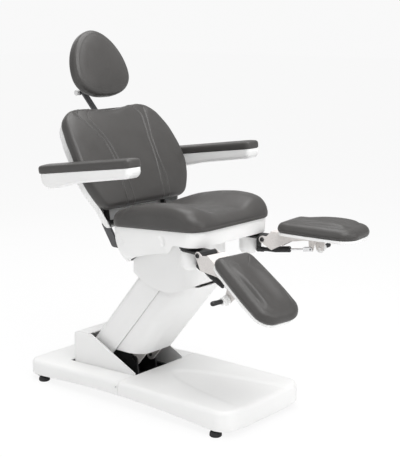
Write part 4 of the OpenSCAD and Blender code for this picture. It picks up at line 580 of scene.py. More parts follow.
def finish_for(slot):
    """The slot's material, made when it is first asked for."""
    if slot not in FINISHES:
        look = bpy.context.scene.chair_finishes
        makers = {
            "upholstery": lambda: leather_finish(look.leather, look.grain),
            "white_plastic": lambda: plastic_finish("gloss_white_plastic", look.white,
                                                    look.gloss, look.gloss + 0.08, 0.0015, 0.02),
            "black_steel": lambda: coated_finish("satin_black_steel", look.black, 0.34, 0.46,
                                                 700, 0.12),
            "grey_steel": lambda: coated_finish("dark_grey_steel", look.grey, 0.42, 0.58,
                                                800, 0.15),
            "cream_steel": lambda: coated_finish("textured_off_white_steel", look.cream, 0.42,
                                                 0.58, 1100, 0.4),
            "chrome": chrome_finish,
            "black_plastic": lambda: plastic_finish("matt_black_plastic", look.black, 0.5, 0.62,
                                                    0.001, 0.08),
            "black_rubber": lambda: plastic_finish("black_rubber", look.black, 0.62, 0.78,
                                                   0.001, 0.2),
        }
        FINISHES[slot] = makers[slot]()
    return FINISHES[slot]


def dressed(piece, body, slot, nodes=()):
    """Give a piece its finish, its body and the CAD nodes that it stands for."""
    piece.data.materials.clear()
    piece.data.materials.append(finish_for(slot))
    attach(piece, body)
    if nodes:
        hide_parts(*nodes)


# Upholstery shapes

def pillow(w, h, r, inset, tops):
    """Section of a cushion: drawn-in lower edge, bellied side, round shoulder, free top."""
    right = [((w - inset) * k / PILLOW_UNDER, 0) for k in range(1, PILLOW_UNDER)]
    right += [(w - inset * left, h * share) for left, share in PILLOW_SIDE]
    right += quarter(w - r, h - r, r, 0, PILLOW_ARC)
    return right + tops + [(-x, z) for x, z in reversed(right)]


def pillow_rim(n, rows):
    """The points of a pillow's underside and lower side, which its cloth holds."""
    return [i * n + j for i in range(rows) for j in range(n)
            if j < PILLOW_HELD or j >= n - PILLOW_HELD]


def seat_section(x, steps):
    """Section of the seat: a trough between two bolsters that swell from the rear forwards."""
    s = SEAT
    front, rear = s["l"] - x, x - s["rear_gap"]
    w = s["w"] / 2 - drawn_in(front, s["front_r"]) - drawn_in(rear, s["rear_r"])
    fall = (drawn_in(front, s["nose"]) / s["nose"]
            + drawn_in(rear, s["edge_r"]) / s["edge_r"] * s["rear_fall_share"])
    h = smooth(SEAT_CREST, x, s["spread"]) * (1 - s["fall_share"] * fall)
    middle = smooth(SEAT_MIDDLE, x, s["spread"]) * (1 - s["fall_share"] * fall)
    r = min(s["shoulder"], h * s["shoulder_share"])
    tops = []
    for k in range(1, steps):
        y = (w - r) * (1 - 2 * k / steps)
        lift = clamped((abs(y) / (w - r) - s["trough_share"]) / s["ramp_share"])
        tops.append((y, between(middle, h, eased(lift))))
    return [(x, y, z) for y, z in pillow(w, h, r, s["inset"], tops)]


def back_half(s):
    b = BACK
    u = max(0.0, s) / b["l"]
    return (between(b["low_w"], b["w"], smooth(BACK_RISE, u, b["spread"])) / 2
            - (b["w"] - b["top_w"]) / 2 * smooth(BACK_FALL, u, b["spread"]))


def dipped(s, y, w):
    """The back's top edge dips in its middle."""
    return s - BACK["dip"] * (max(0.0, s) / BACK["l"]) ** BACK["dip_power"] * math.cos(
        math.radians(90 * min(1.0, abs(y) / (w * BACK["dip_w_share"])))) ** 2


def welt_lines(u, w, r):
    half = BACK["w"] / 2
    inner = min(half * smooth(INNER_WELT, u, WELT_SPREAD), (w - r) * INNER_LIMIT_SHARE)
    outer = min(half * smooth(OUTER_WELT, u, WELT_SPREAD), (w - r) * OUTER_LIMIT_SHARE)
    return inner, outer


def back_section(u, height):
    """Section of the back cushion at a share of its length, with its four sewn welts."""
    b = BACK
    s = u * b["l"]
    w = back_half(s) - drawn_in(s, b["foot_r"]) - drawn_in(b["l"] - s, b["shoulder_r"])
    rim = drawn_in(min(s, b["l"] - s), b["rim_r"]) / b["rim_r"]
    h, r = b["side"] * (1 - rim * b["rim_h_share"]), b["rim_r"] * (1 - rim * b["rim_r_share"])
    inner, outer = welt_lines(u, w, r)
    half = [(between(outer + WELT_W, w - r, k / 7), 0) for k in range(6, 0, -1)]
    half += [(outer - d, lift) for d, lift in WELT]
    half += [(between(outer - WELT_W, inner + WELT_W, k / 4), 0) for k in (1, 2, 3)]
    half += [(inner - d, lift) for d, lift in WELT]
    half += [((inner - WELT_W) * k / 9, 0) for k in range(8, 0, -1)]
    whole = half + [(0, 0)] + [(-y, lift) for y, lift in reversed(half)]
    tops = [(y, h + b["crown"] * (1 - rim) * (1 - (y / w) ** 2) + lift * height * (1 - rim))
            for y, lift in whole]
    return [on_back(dipped(s, y, w), -y, z - b["side"])
            for y, z in pillow(w, h, r, b["inset"], tops)]


def contour_pad(name, outline, spine, side, radius, inset, top, place, mirrored=False,
                groove=1.0, under=PAD_UNDER, rings=14):
    """Pad over a symmetric outline: flat underside, bellied side, sewn edge and a formed top.

    outline holds (x, y, nx, ny) with outward normals; spine gives the point that each
    outline point closes in on; top(x, y, t) is the height above the side, t from 0 at the edge.
    """
    def ring(offset, z):
        return [(x - nx * offset, y - ny * offset, z) for x, y, nx, ny in outline]

    def inner(offset, t, height):
        out = []
        for x, y, nx, ny in outline:
            cx, cy = spine(x, y)
            qx, qy = between(x - nx * offset, cx, t), between(y - ny * offset, cy, t)
            out.append((qx, qy, height(qx, qy, t)))
        return out

    rows = [inner(inset, PAD_CLOSING * k / under, lambda x, y, t: 0.0)
            for k in range(under, 0, -1)]
    rows += [ring(inset * left, side * share) for left, share in PAD_SIDE]
    rows += [ring(PAD_BELLY, side * PAD_BELLY_SHARE), ring(0, side * PAD_WIDEST_SHARE)]
    for k in range(PAD_ARC + 1):
        a = math.radians(90 * k / PAD_ARC)
        pinch = groove if k == GROOVE_STEP else 0.0
        rows.append(ring(radius * (1 - math.cos(a)) + pinch, side - radius
                         + radius * math.sin(a) - pinch * GROOVE_DROP))
    rows += [inner(radius, PAD_CLOSING * k / rings, lambda x, y, t: side + top(x, y, t))
             for k in range(1, rings + 1)]
    return lofted(name, rows, place, mirrored, 60)


def symmetric(half, n):
    """Outline (x, y, nx, ny) of n even steps along a half from axis to axis, and its mirror."""
    lengths = [0.0]
    for (ax, ay), (bx, by) in zip(half, half[1:]):
        lengths.append(lengths[-1] + math.hypot(bx - ax, by - ay))
    right = []
    for k in range(n):
        goal = lengths[-1] * (k + 0.5) / n
        i = max(j for j in range(len(lengths) - 1) if lengths[j] <= goal)
        u = (goal - lengths[i]) / max(1e-9, lengths[i + 1] - lengths[i])
        right.append((between(half[i][0], half[i + 1][0], u),
                      between(half[i][1], half[i + 1][1], u)))
    points = right + [(x, -y) for x, y in reversed(right)]
    out = []
    for i, (x, y) in enumerate(points):
        (ax, ay), (bx, by) = points[i - 1], points[(i + 1) % len(points)]
        length = math.hypot(bx - ax, by - ay) or 1.0
        out.append((x, y, (by - ay) / length, -(bx - ax) / length))
    return out


def egg_half(u):
    h = HEADREST
    if u < h["wide"]:
        return max(0.0, 1 - ((h["wide"] - u) / h["wide"]) ** h["low"]) ** (1 / h["low"])
    return max(0.0, 1 - ((u - h["wide"]) / (1 - h["wide"])) ** h["high"]) ** (1 / h["high"])


def leg_edge(x):
    width = between(LEG["knee_w"], LEG["w"], smooth(LEG_WIDTH, x / LEG["l"], LEG["w_spread"]))
    return (width / 2 - drawn_in(x, LEG["knee_r"]) * LEG["knee_share"]
            - drawn_in(LEG["l"] - x, LEG["far_r"]))


# Shell shapes

def moulding_rows(x0, x1, wall, steps, rear=True, front=True):
    """Rows [outer x, inner x, full depth] of a moulding, with a wall across each closed end."""
    def end(x, wall):
        return [(x, x, 0), (x + wall / 8, x + wall * 7 / 8, 0), (x + wall / 4, x + wall, 1)]

    rows = end(x0, wall) if rear else []
    for u in end_rows(steps):
        x = between(x0, x1, u)
        if (x > x0 + wall or not rear) and (x < x1 - wall or not front):
            rows.append((x, x, 1))
    return rows + (end(x1, -wall)[::-1] if front else [])


def base_bottom(x):
    u = (x - (BASE["foot_front"] - BASE["foot_base"])) / BASE["foot_base"]
    return BASE["edge"] + (BASE["arch"] * math.sin(math.pi * u) if 0 < u < 1 else 0)


def base_top(x):
    if x > BASE["seam"]:
        return BASE["top"]
    u = (x - BASE["rear"]) / (BASE["seam"] - BASE["rear"])
    return between(BASE["rear_top"], BASE["top"], u)


def dish(x, y):
    """Depth of the dished foot area in the base's top."""
    start = BASE["seam"] + BASE["dish_start"]
    u = (x - start) / (BASE["front"] - start)
    half = 0 if u <= 0 else BASE["dish_w"] * min(1.0, u ** BASE["dish_power"])
    return BASE["dish_d"] * eased(clamped((half - abs(y)) / BASE["dish_edge"]))


def housing_path(x, w, low, high, steps):
    r = min(BASE["rounding"], (high - low) * BASE["round_share"])
    path = [(x, w, low)] + [(x, y, z) for y, z in quarter(w - r, high - r, r, 0)]
    for k in range(1, steps):
        y = (w - r) * (1 - 2 * k / steps)
        path.append((x, y, high - dish(x, y)))
    return path + [(x, y, z) for y, z in quarter(r - w, high - r, r, 90)] + [(x, -w, low)]


def housing_section(row, steps):
    x, xi, full = row
    wall = BASE["wall"]

    def gap(v):
        return max(0.0, min(v - BASE["rear"], BASE["front"] - v))

    def half(g):
        return BASE["w"] / 2 - drawn_in(max(0.0, g), BASE["corner"])

    low = base_bottom(x)
    high = base_top(x) - drawn_in(gap(x), BASE["rounding"])
    inside = (base_top(xi) - drawn_in(max(0.0, gap(xi) - wall), BASE["rounding"]) - wall
              if full else low + RIM)
    outer = housing_path(x, half(gap(x)), low, high, steps)
    inner = housing_path(xi, half(gap(xi) - wall) - wall, low, inside, steps)
    return outer + inner[::-1]


def shell_share(x):
    return clamped((x - SHELL["x0"]) / (SHELL["x1"] - SHELL["x0"]))


def shell_top(x):
    """Height of the seat shell's rim, just under the leaning cushion."""
    lean = math.radians(SEAT["lean"])
    return SEAT["z"] + (x - SEAT["x"]) * math.tan(lean) - REST_GAP / math.cos(lean)


def shell_bottom(x):
    return between(SHELL["rear_z"], SHELL["front_z"],
                   smooth(SHELL_RISE, shell_share(x), SHELL["spread"]))


def long_loop(x0, x1, w, r, run=150):
    """Rounded rectangle from its front end round, with many points along both sides."""
    sides = [between(x0 + r, x1 - r, (k + 0.5) / run) for k in range(run)]
    loop = quarter(x1 - r, r - w / 2, r, -90) + quarter(x1 - r, w / 2 - r, r, 0)
    loop += [(x, w / 2) for x in reversed(sides)]
    loop += quarter(x0 + r, w / 2 - r, r, 90) + quarter(x0 + r, r - w / 2, r, 180)
    return loop + [(x, -w / 2) for x in sides]


def hollowed(x, z):
    """Depth of the two slanted oval hollows on each side of the shell."""
    h = HOLLOW
    depth = 0.0
    for cx, cz in HOLLOWS:
        a = (x - cx) * h["along"] + (z - cz) * h["slant"]
        b = (z - cz) * h["along"] - (x - cx) * h["slant"]
        depth += h["depth"] * max(0.0, 1 - (a / h["a"]) ** 2 - (b / h["b"]) ** 2)
    return depth


def shell_loop(d, inset, hollow=True):
    """Ring of the seat shell at a share d of its depth."""
    bulge = d ** SHELL["bulge"]
    draw = SHELL["draw"] * bulge
    loop = []
    for x, y in long_loop(SHELL["x0"] + inset + draw, SHELL["x1"] - inset - draw,
                          SHELL["w"] - 2 * inset, SHELL["r"] - inset):
        half = between(SHELL["half"], 1, min(1.0, shell_share(x) * SHELL["half_run"]))
        y *= between(1, half, bulge)
        z = between(shell_top(x), shell_bottom(x) + inset, d)
        if hollow:
            y -= math.copysign(hollowed(x, z), y)
        loop.append((x, y, z))
    return loop


def mouth_loop(z):
    """Ring of the opening in the seat shell's floor, z above the floor's underside."""
    rim = shell_loop(1, 0, False)
    edge = long_loop(SHELL["mouth_x0"], SHELL["mouth_x1"], SHELL["mouth_w"], SHELL["mouth_r"])
    return [(x, y, low + z) for (x, y), (_, _, low) in zip(edge, rim)]


def arm_section(x):
    """Section of an armrest's moulding, with its long rear sweep and rounded front corner."""
    a = ARM
    front = a["pad_l"] - x
    depth = smooth(ARM_DEPTH, x, a["spread"])
    if x < a["rear_x"]:
        sweep = math.sqrt(max(1.0, a["rear_r"] ** 2 - (a["rear_x"] - x) ** 2))
        depth = min(depth, a["rear_sweep"] * sweep)
    depth -= drawn_in(front, a["front_r"])
    w = a["body_w"] / 2 - drawn_in(x - a["rear"], a["plan_r"]) - drawn_in(front, a["plan_r"])
    r = min(a["lower_r"], depth * a["lower_h_share"], w * a["lower_w_share"])
    right = [(w * k / 4, -REST_GAP) for k in (1, 2, 3, 4)] + [(w, (r - depth) / 2)]
    right += reversed(quarter(w - r, r - depth, r, -90))
    right += [((w - r) * k / 4, -depth) for k in (3, 2, 1)]
    return [(x, y, z) for y, z in right + [(-y, z) for y, z in reversed(right)]]


def back_shell_half(s):
    b = BACK_SHELL
    return (back_half(s) - b["lip"] + b["slope"] * min(0.0, s)
            - drawn_in(BACK["l"] - b["lip"] - s, BACK["shoulder_r"]) * b["shoulder_share"])


def back_shell_path(s, w, d, steps=10):
    r = min(BACK_SHELL["corner"], d * BACK_SHELL["corner_share"])
    path = [(w, 0)] + quarter(w - r, d - r, r, 0, 10)
    path += [((w - r) * (1 - 2 * k / steps), d) for k in range(1, steps)]
    path += quarter(r - w, d - r, r, 90, 10) + [(-w, 0)]
    return [on_back(dipped(s, y, w), y, -BACK["side"] - REST_GAP - n) for y, n in path]


def back_shell_section(row):
    b = BACK_SHELL
    s, si, full = row

    def gap(v):
        return max(0.0, min(v - b["low"], BACK["l"] - b["lip"] - v))

    d = b["d"] - drawn_in(gap(s), b["end"])
    di = (b["d"] - drawn_in(max(0.0, gap(si) - b["wall"]), b["end"]) - b["wall"]
          if full else RIM)
    outer = back_shell_path(s, back_shell_half(s), d)
    inner = back_shell_path(si, back_shell_half(si) - b["wall"], di)
    return outer + inner[::-1]


# Fittings

def thread(name, lines, length):
    """Stitches as one mesh: short tapered threads along each line of metre points."""
    points, faces = [], []
    for line in lines:
        reach = [0.0]
        for a, b in zip(line, line[1:]):
            reach.append(reach[-1] + (b - a).length / MM)
        start = STITCH_MARGIN
        while start + length < reach[-1] - STITCH_MARGIN:
            i = max(k for k in range(len(line) - 1) if reach[k] <= start)
            a, b = line[i] / MM, line[i + 1] / MM
            along = (b - a).normalized()
            origin = a + along * (start - reach[i])
            side = along.orthogonal().normalized()
            up = along.cross(side)
            first = len(points)
            last = first + STITCH_SIDES * (len(TAPER) - 1)
            for t, r in TAPER:
                for k in range(STITCH_SIDES):
                    turn = 2 * math.pi * k / STITCH_SIDES
                    points.append(origin + along * length * t
                                  + (side * math.cos(turn) + up * math.sin(turn)) * STITCH_R * r)
            faces += [tuple(first + v for v in face) for face in skin(STITCH_SIDES, len(TAPER))]
            faces += [tuple(end + k for k in range(STITCH_SIDES)) for end in (first, last)]
            start += length + STITCH_GAP
    return add_piece(name, points, faces)


def button_screw(name, place, r, mirrored=False, steps=36):
    """Domed screw head with a hexagon socket, its seat at the place's origin."""
    rings = [circle(share * r, z * r, steps) for share, z in SCREW_DOME]
    for z in SCREW_SOCKET:
        ring = []
        for k in range(steps):
            a = 2 * math.pi * k / steps
            flat = SOCKET_SHARE * r / math.cos((a % (math.pi / 3)) - math.pi / 6)
            ring.append((flat * math.cos(a), flat * math.sin(a), z * r))
        rings.append(ring)
    return capped(name, rings, place, mirrored, 30)


class ChairUpholstery(bpy.types.PropertyGroup):
    """Sizes of the sewn and padded work."""
    welt: FloatProperty(name="Welt height", description="Height of the back's sewn welts",
                        default=1.0, min=0.0, max=2.0, subtype="FACTOR")
    swell: FloatProperty(name="Swell", description="How far a cover may swell over its foam",
                         default=0.003, min=0.0, max=0.01, unit="LENGTH")
    stitch: FloatProperty(name="Stitch length", description="Length of one stitch",
                          default=0.0042, min=0.002, max=0.008, unit="LENGTH")


class ChairFinishes(bpy.types.PropertyGroup):
    """Colours and gloss of the chair's materials."""
    leather: FloatVectorProperty(name="Leather", description="Colour of the upholstery",
                                 subtype="COLOR", size=3, default=(0.060, 0.0575, 0.0555),
                                 min=0.0, max=1.0)
    grain: FloatProperty(name="Grain", description="Depth of the leather's grain", default=0.25,
                         min=0.0, max=1.0, subtype="FACTOR")
    white: FloatVectorProperty(name="White plastic", description="Colour of the shells",
                               subtype="COLOR", size=3, default=(0.875, 0.875, 0.87), min=0.0,
                               max=1.0)
    gloss: FloatProperty(name="Shell roughness", description="Roughness of the white shells",
                         default=0.31, min=0.0, max=1.0, subtype="FACTOR")
    black: FloatVectorProperty(name="Black", description="Colour of black steel and rubber",
                               subtype="COLOR", size=3, default=(0.016, 0.016, 0.017), min=0.0,
                               max=1.0)
    grey: FloatVectorProperty(name="Grey steel", description="Colour of dark grey steel",
                              subtype="COLOR", size=3, default=(0.09, 0.09, 0.095), min=0.0,
                              max=1.0)
    cream: FloatVectorProperty(name="Off-white steel", description="Colour of the leg plates",
                               subtype="COLOR", size=3, default=(0.70, 0.67, 0.65), min=0.0,
                               max=1.0)


class ChairStage(bpy.types.PropertyGroup):
    """Floor, light and camera."""
    floor: FloatVectorProperty(name="Floor", description="Colour of the floor",
                               subtype="COLOR", size=3, default=(0.93, 0.93, 0.93), min=0.0,
                               max=1.0)
    key: FloatProperty(name="Key light", description="Power of the large soft key light",
                       default=100.0, min=0.0, max=1000.0, unit="POWER")
    fill: FloatProperty(name="Fill light", description="Power of the fill light", default=29.0,
                        min=0.0, max=1000.0, unit="POWER")
    lens: FloatProperty(name="Lens", description="Focal length of the camera in millimetres",
                        default=83.5, min=20.0, max=300.0, unit="CAMERA")


class CHAIR_OT_seat_cushion(bpy.types.Operator):
    """Make the seat cushion with its raised side bolsters"""
    bl_idname = "chair.seat_cushion"
    bl_label = "Seat Cushion"

    def execute(self, context):
        s = SEAT
        rows = [seat_section(between(s["rear_gap"], s["l"], u), s["columns"])
                for u in end_rows(s["rows"])]
        piece = lofted("seat_upholstery", rows, leaned(s), angle=70)
        filled_out(piece, pillow_rim(len(rows[0]), len(rows)), s["pressure"],
                   context.scene.chair_upholstery.swell / MM)
        subdivided(piece)
        dressed(piece, "seat", "upholstery", ["seat_cushion"])
        return {"FINISHED"}


class CHAIR_OT_back_cushion(bpy.types.Operator):
    """Make the back cushion with its four sewn welts and their stitches"""
    bl_idname = "chair.back_cushion"
    bl_label = "Back Cushion"

    def execute(self, context):
        work = context.scene.chair_upholstery
        rows = [back_section(u, work.welt) for u in end_rows(BACK["rows"])]
        piece = lofted("back_upholstery", rows, angle=70)
        n = len(rows[0])
        filled_out(piece, pillow_rim(n, len(rows)), BACK["pressure"],
                   work.swell / MM * BACK["swell_share"])
        lines = []
        for column in STITCH_COLUMNS:
            for j in (column, n - 1 - column + STITCH_SHIFT):
                lines.append([piece.data.vertices[i * n + j].co.copy()
                              for i in range(STITCH_ROWS[0], len(rows) - STITCH_ROWS[1])])
        subdivided(piece)
        dressed(piece, "backrest", "upholstery", ["back_cushion"])
        seams = thread("back_stitching", lines, work.stitch / MM)
        dressed(seams, "backrest", "upholstery")
        return {"FINISHED"}


class CHAIR_OT_headrest_cushion(bpy.types.Operator):
    """Make the egg-shaped headrest cushion with its boxed edge"""
    bl_idname = "chair.headrest_cushion"
    bl_label = "Headrest Cushion"

    def execute(self, context):
        h = HEADREST
        outline = symmetric([(h["l"] * (1 - u), h["w"] / 2 * egg_half(1 - u))
                             for u in end_rows(h["rows"])], h["around"])
        middle = h["l"] * h["wide"] * h["middle_share"]

        def top(x, y, t):
            return h["crown"] * (1 - (1 - t) ** 2) ** h["crown_power"]

        upright = Matrix(((0, 0, 1, -h["t"]), (0, 1, 0, 0), (1, 0, 0, 0), (0, 0, 0, 1)))
        piece = contour_pad("headrest_upholstery", outline, lambda x, y: (middle, 0), h["t"],
                            h["edge_r"], h["inset"], top, leaned(h) @ upright)
        filled_out(piece, list(range(PAD_HELD_ROWS * len(outline))), h["pressure"],
                   context.scene.chair_upholstery.swell / MM * h["swell_share"])
        subdivided(piece)
        dressed(piece, "headrest", "upholstery", ["headrest_cushion"])
        return {"FINISHED"}


class CHAIR_OT_arm_bodies(bpy.types.Operator):
    """Make the white mouldings under both arm pads"""
    bl_idname = "chair.arm_bodies"
    bl_label = "Arm Bodies"

    def execute(self, context):
        a = ARM
        middle = (a["w"] - a["pad_w"]) / 2
        rows = [arm_section(between(a["rear"], a["pad_l"] - a["end_gap"], u))
                for u in end_rows(a["rows"])]
        for side, way in (("left", 1), ("right", -1)):
            piece = lofted(f"{side}_arm_moulding", rows,
                           leaned(a) @ Matrix.Translation((0, middle, 0)), way < 0)
            tube = pair(way, middle - a["tube_depth"], middle + OVERRUN)
            cut_away(piece, [bar(a["tube_r"], *arm_tube(), *tube)])
            dressed(piece, f"{side}_armrest", "white_plastic", [f"{side}_arm_body"])
        return {"FINISHED"}


class CHAIR_OT_arm_pads(bpy.types.Operator):
    """Make both upholstered arm pads"""
    bl_idname = "chair.arm_pads"
    bl_label = "Arm Pads"

    def execute(self, context):
        a = ARM
        l, w, r, crown = a["pad_l"], a["pad_w"] / 2, a["pad_r"], a["pad_crown"]
        half = [(l, 0), (l, w - r)] + quarter(l - r, w - r, r, 0)[1:]
        half += quarter(r, w - r, r, 90) + [(0, 0)]
        outline = symmetric(half, a["around"])

        def spine(x, y):
            return clamped(x, w, l - w), 0

        def top(x, y, t):
            return crown * (1 - (1 - t) ** 2)

        for side in ("left", "right"):
            place = leaned(a) @ Matrix.Translation((0, a["w"] / 2 - w, 0))
            piece = contour_pad(f"{side}_arm_upholstery", outline, spine, a["pad_t"] - crown,
                                a["pad_edge"], a["pad_inset"], top, place, side == "right",
                                a["pad_groove"], a["pad_under"], a["pad_rings"])
            subdivided(piece)
            dressed(piece, f"{side}_armrest", "upholstery", [f"{side}_arm_pad"])
        return {"FINISHED"}


class CHAIR_OT_leg_cushions(bpy.types.Operator):
    """Make both leg cushions with their shallow troughs"""
    bl_idname = "chair.leg_cushions"
    bl_label = "Leg Cushions"

    def execute(self, context):
        g = LEG
        along = [g["l"] * (1 - u) for u in end_rows(g["rows"])]
        outline = symmetric([(g["l"], 0)] + [(x, leg_edge(x)) for x in along] + [(0, 0)],
                            g["around"])

        def spine(x, y):
            return clamped(x, g["spine_near"], g["l"] - g["spine_far"]), 0

        def top(x, y, t):
            lift = eased(clamped(abs(y) / max(1.0, leg_edge(x) - g["shoulder"])))
            lift *= smooth(LEG_LIFT, x, g["spread"])
            return (g["bolster"] * lift * clamped(t * g["rise"])
                    + g["crown"] * clamped(t * g["crown_rise"]))

        on_tray = Matrix.Translation((g["start"], -g["shift"],
                                      g["tray_z"] + g["tray_t"] + REST_GAP))
        for side in ("left", "right"):
            piece = contour_pad(f"{side}_leg_upholstery", outline, spine, g["h"], g["shoulder"],
                                g["inset"], top, on_leg(side) @ on_tray, side == "right",
                                g["groove"], rings=g["rings"])
            filled_out(piece, list(range(PAD_HELD_ROWS * len(outline))), g["pressure"],
                       context.scene.chair_upholstery.swell / MM * g["swell_share"])
            subdivided(piece)
            dressed(piece, f"{side}_leg_pad", "upholstery", [f"{side}_leg_cushion"])
        return {"FINISHED"}


class CHAIR_OT_base_covers(bpy.types.Operator):
    """Make the front and rear mouldings of the base housing"""
    bl_idname = "chair.base_covers"
    bl_label = "Base Covers"

    def execute(self, context):
        b = BASE
        front = moulding_rows(b["seam"], b["front"], b["wall"], b["front_rows"], rear=False)
        piece = lofted("base_front_moulding", [housing_section(r, b["front_columns"])
                                                for r in front])
        dressed(piece, "base", "white_plastic", ["base_front_cover"])
        rear = moulding_rows(b["rear"], b["seam"] - b["seam_gap"], b["wall"], b["rear_rows"],
                             front=False)
        piece = lofted("base_rear_moulding", [housing_section(r, b["rear_columns"])
                                               for r in rear])
        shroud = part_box("pedestal_shroud")
        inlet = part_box("power_inlet")
        x0, w = shroud[0].x / MM - b["gap"], shroud[1].y / MM + b["gap"]
        cut_away(piece, [block(x0, b["seam"] + OVERRUN, -w, w, b["shroud_z"],
                               b["top"] + OVERRUN),
                         block(b["rear"] - OVERRUN, b["rear"] + b["inlet_d"],
                               inlet[0].y / MM - b["gap"], inlet[1].y / MM + b["gap"],
                               inlet[0].z / MM - b["gap"], inlet[1].z / MM + b["gap"])])
        dressed(piece, "base", "white_plastic", ["base_rear_cover"])
        return {"FINISHED"}


class CHAIR_OT_seat_shell(bpy.types.Operator):
    """Make the moulded seat shell with its oval hollows"""
    bl_idname = "chair.seat_shell"
    bl_label = "Seat Shell"

    def execute(self, context):
        h = SHELL
        loops = [mouth_loop(h["mouth_z"])] + [shell_loop(d, 0) for d in SHELL_DEPTHS]
        loops += [shell_loop(d, h["wall"]) for d in reversed(SHELL_DEPTHS)]
        loops.append(mouth_loop(h["mouth_z"] + h["wall"]))
        piece = add_piece("seat_shell_moulding", joined(loops),
                          skin(len(loops[0]), len(loops), True))
        cutters = []
        for way in (-1, 1):
            post = Matrix.Translation((LEG["post_x"], way * LEG["post_y"], h["post_z"]))
            cutters.append(turned("cutter", [(h["post_r"], 0), (h["post_r"], h["post_run"])],
                                  post))
            cutters.append(block(*h["rear_cut"], *pair(way, *h["hinge_y"]), *h["hinge_z"]))
        cutters.append(block(*h["rear_cut"], *h["crank_y"], *h["crank_z"]))
        cut_away(piece, cutters)
        dressed(piece, "seat", "white_plastic", ["seat_shell"])
        return {"FINISHED"}


class CHAIR_OT_back_shell(bpy.types.Operator):
    """Make the moulded back shell with its hinge lanes and the slot for the headrest's bar"""
    bl_idname = "chair.back_shell"
    bl_label = "Back Shell"

    def execute(self, context):
        b, c, p = BACK_SHELL, RECLINE, HEAD_BAR
        rows = moulding_rows(b["low"], BACK["l"] - b["lip"], b["wall"], b["rows"])
        piece = lofted("back_shell_moulding", [back_shell_section(r) for r in rows])
        x, z = c["x"], c["z"]
        turns = [math.radians(a) for a in range(c["swing_from"], c["swing_to"], -20)]
        swing = [(x, z)] + [(x + c["swing"] * math.cos(a), z + c["swing"] * math.sin(a))
                            for a in turns]
        cutters = [bar(c["tube_r"], x, z, -c["tube_y"], c["tube_y"])]
        for way in (-1, 1):
            plate = pair(way, *c["plate_y"])
            cutters += [standing(swing, *plate), bar(c["r"], x, z, *plate)]
        low = math.radians(c["crank_lean"])
        tip = (x - c["crank_l"] * math.sin(low), z - c["crank_l"] * math.cos(low))
        side = (c["crank_r"] * math.cos(low), -c["crank_r"] * math.sin(low))
        crank = [(px + way * side[0], pz + way * side[1])
                 for (px, pz), way in (((x, z), 1), ((x, z), -1), (tip, -1), (tip, 1))]
        cutters.append(standing(crank, *c["crank_y"]))
        cutters.append(bar(ARM["tube_r"], *arm_tube(), -ARM["w"] / 2, ARM["w"] / 2))
        cutters.append(block(-p["t"] / 2, p["t"] / 2, -p["w"] / 2, p["w"] / 2, -p["l"], 0,
                             leaned(p)))
        cut_away(piece, cutters)
        dressed(piece, "backrest", "white_plastic", ["back_shell"])
        return {"FINISHED"}


class CHAIR_OT_release_handles(bpy.types.Operator):
    """Make the release handles: white discs on a spindle with a black grip"""
    bl_idname = "chair.release_handles"
    bl_label = "Release Handles"

    def execute(self, context):
        discs = rounded(RELEASE_DISCS, DISC_ROUND)
        grip = rounded(RELEASE_GRIP, GRIP_ROUND, GRIP_ARC)
        y = LEG["flange_w"] / 2 + LEG["handle_y"]
        for side in ("left", "right"):
            place = on_leg(side) @ across(LEG["handle_x"], LEG["handle_z"], y)
            piece = turned(f"{side}_release_discs", discs, place, DISC_STEPS,
                           side == "right")
            dressed(piece, f"{side}_release", "white_plastic", [f"{side}_release_handle"])
            piece = turned(f"{side}_release_grip", grip, place, GRIP_STEPS,
                           side == "right")
            dressed(piece, f"{side}_release", "black_plastic")
        return {"FINISHED"}


class CHAIR_OT_gas_boots(bpy.types.Operator):
    """Make the tapered rubber boots over the gas springs' tubes"""
    bl_idname = "chair.gas_boots"
    bl_label = "Gas Spring Boots"

    def execute(self, context):
        ribs = [(r, z + BOOT_PITCH * k) for k in range(BOOT_RIBS) for r, z in BOOT_RIB]
        profile = [*BOOT_LOWER, *ribs, *BOOT_UPPER]
        for side in ("left", "right"):
            piece = turned(f"{side}_gas_boot", profile, on_gas_spring(side),
                           mirrored=side == "right")
            dressed(piece, f"{side}_gas_tube", "black_rubber")
        return {"FINISHED"}


class CHAIR_OT_fasteners(bpy.types.Operator):
    """Make the screw heads on the knee hinges, the recline hinges and the base"""
    bl_idname = "chair.fasteners"
    bl_label = "Fasteners"

    def execute(self, context):
        for side in ("left", "right"):
            for name, way in (("outer", 1), ("inner", -1)):
                place = on_post(side) @ across(LEG["knee_x"], 0, way * LEG["screw_y"], way)
                piece = button_screw(f"{side}_knee_screw_{name}", place, LEG["screw_r"],
                                     side == "right")
                dressed(piece, f"{side}_swivel", "black_steel")
            piece = button_screw(f"{side}_recline_screw",
                                 across(RECLINE["x"], RECLINE["z"], RECLINE["screw_y"]),
                                 RECLINE["screw_r"], side == "right")
            dressed(piece, "backrest", "black_steel")
            piece = button_screw(f"{side}_base_screw",
                                 across(BASE["screw_x"], BASE["screw_z"], BASE["w"] / 2),
                                 BASE["screw_r"], side == "right")
            dressed(piece, "base", "chrome")
        return {"FINISHED"}


class CHAIR_OT_headrest_knob(bpy.types.Operator):
    """Make the pale clamping knob at the end of the headrest's hinge pin"""
    bl_idname = "chair.headrest_knob"
    bl_label = "Headrest Knob"

    def execute(self, context):
        place = across(HEAD_BAR["x"], HEAD_BAR["z"], HEAD_BAR["knob_y"])
        piece = turned("headrest_knob", rounded(HEAD_KNOB, KNOB_ROUND), place, KNOB_STEPS, True)
        dressed(piece, "headrest", "white_plastic")
        return {"FINISHED"}


class CHAIR_OT_cad_finishes(bpy.types.Operator):
    """Give every CAD part that stays its finish"""
    bl_idname = "chair.cad_finishes"
    bl_label = "Finishes"

    def execute(self, context):
        for part in frame["record"]["subparts"]:
            node = frame["nodes"][part["node"]]
            node.data.materials.clear()
            node.data.materials.append(finish_for(part["material_slot"]))
        return {"FINISHED"}


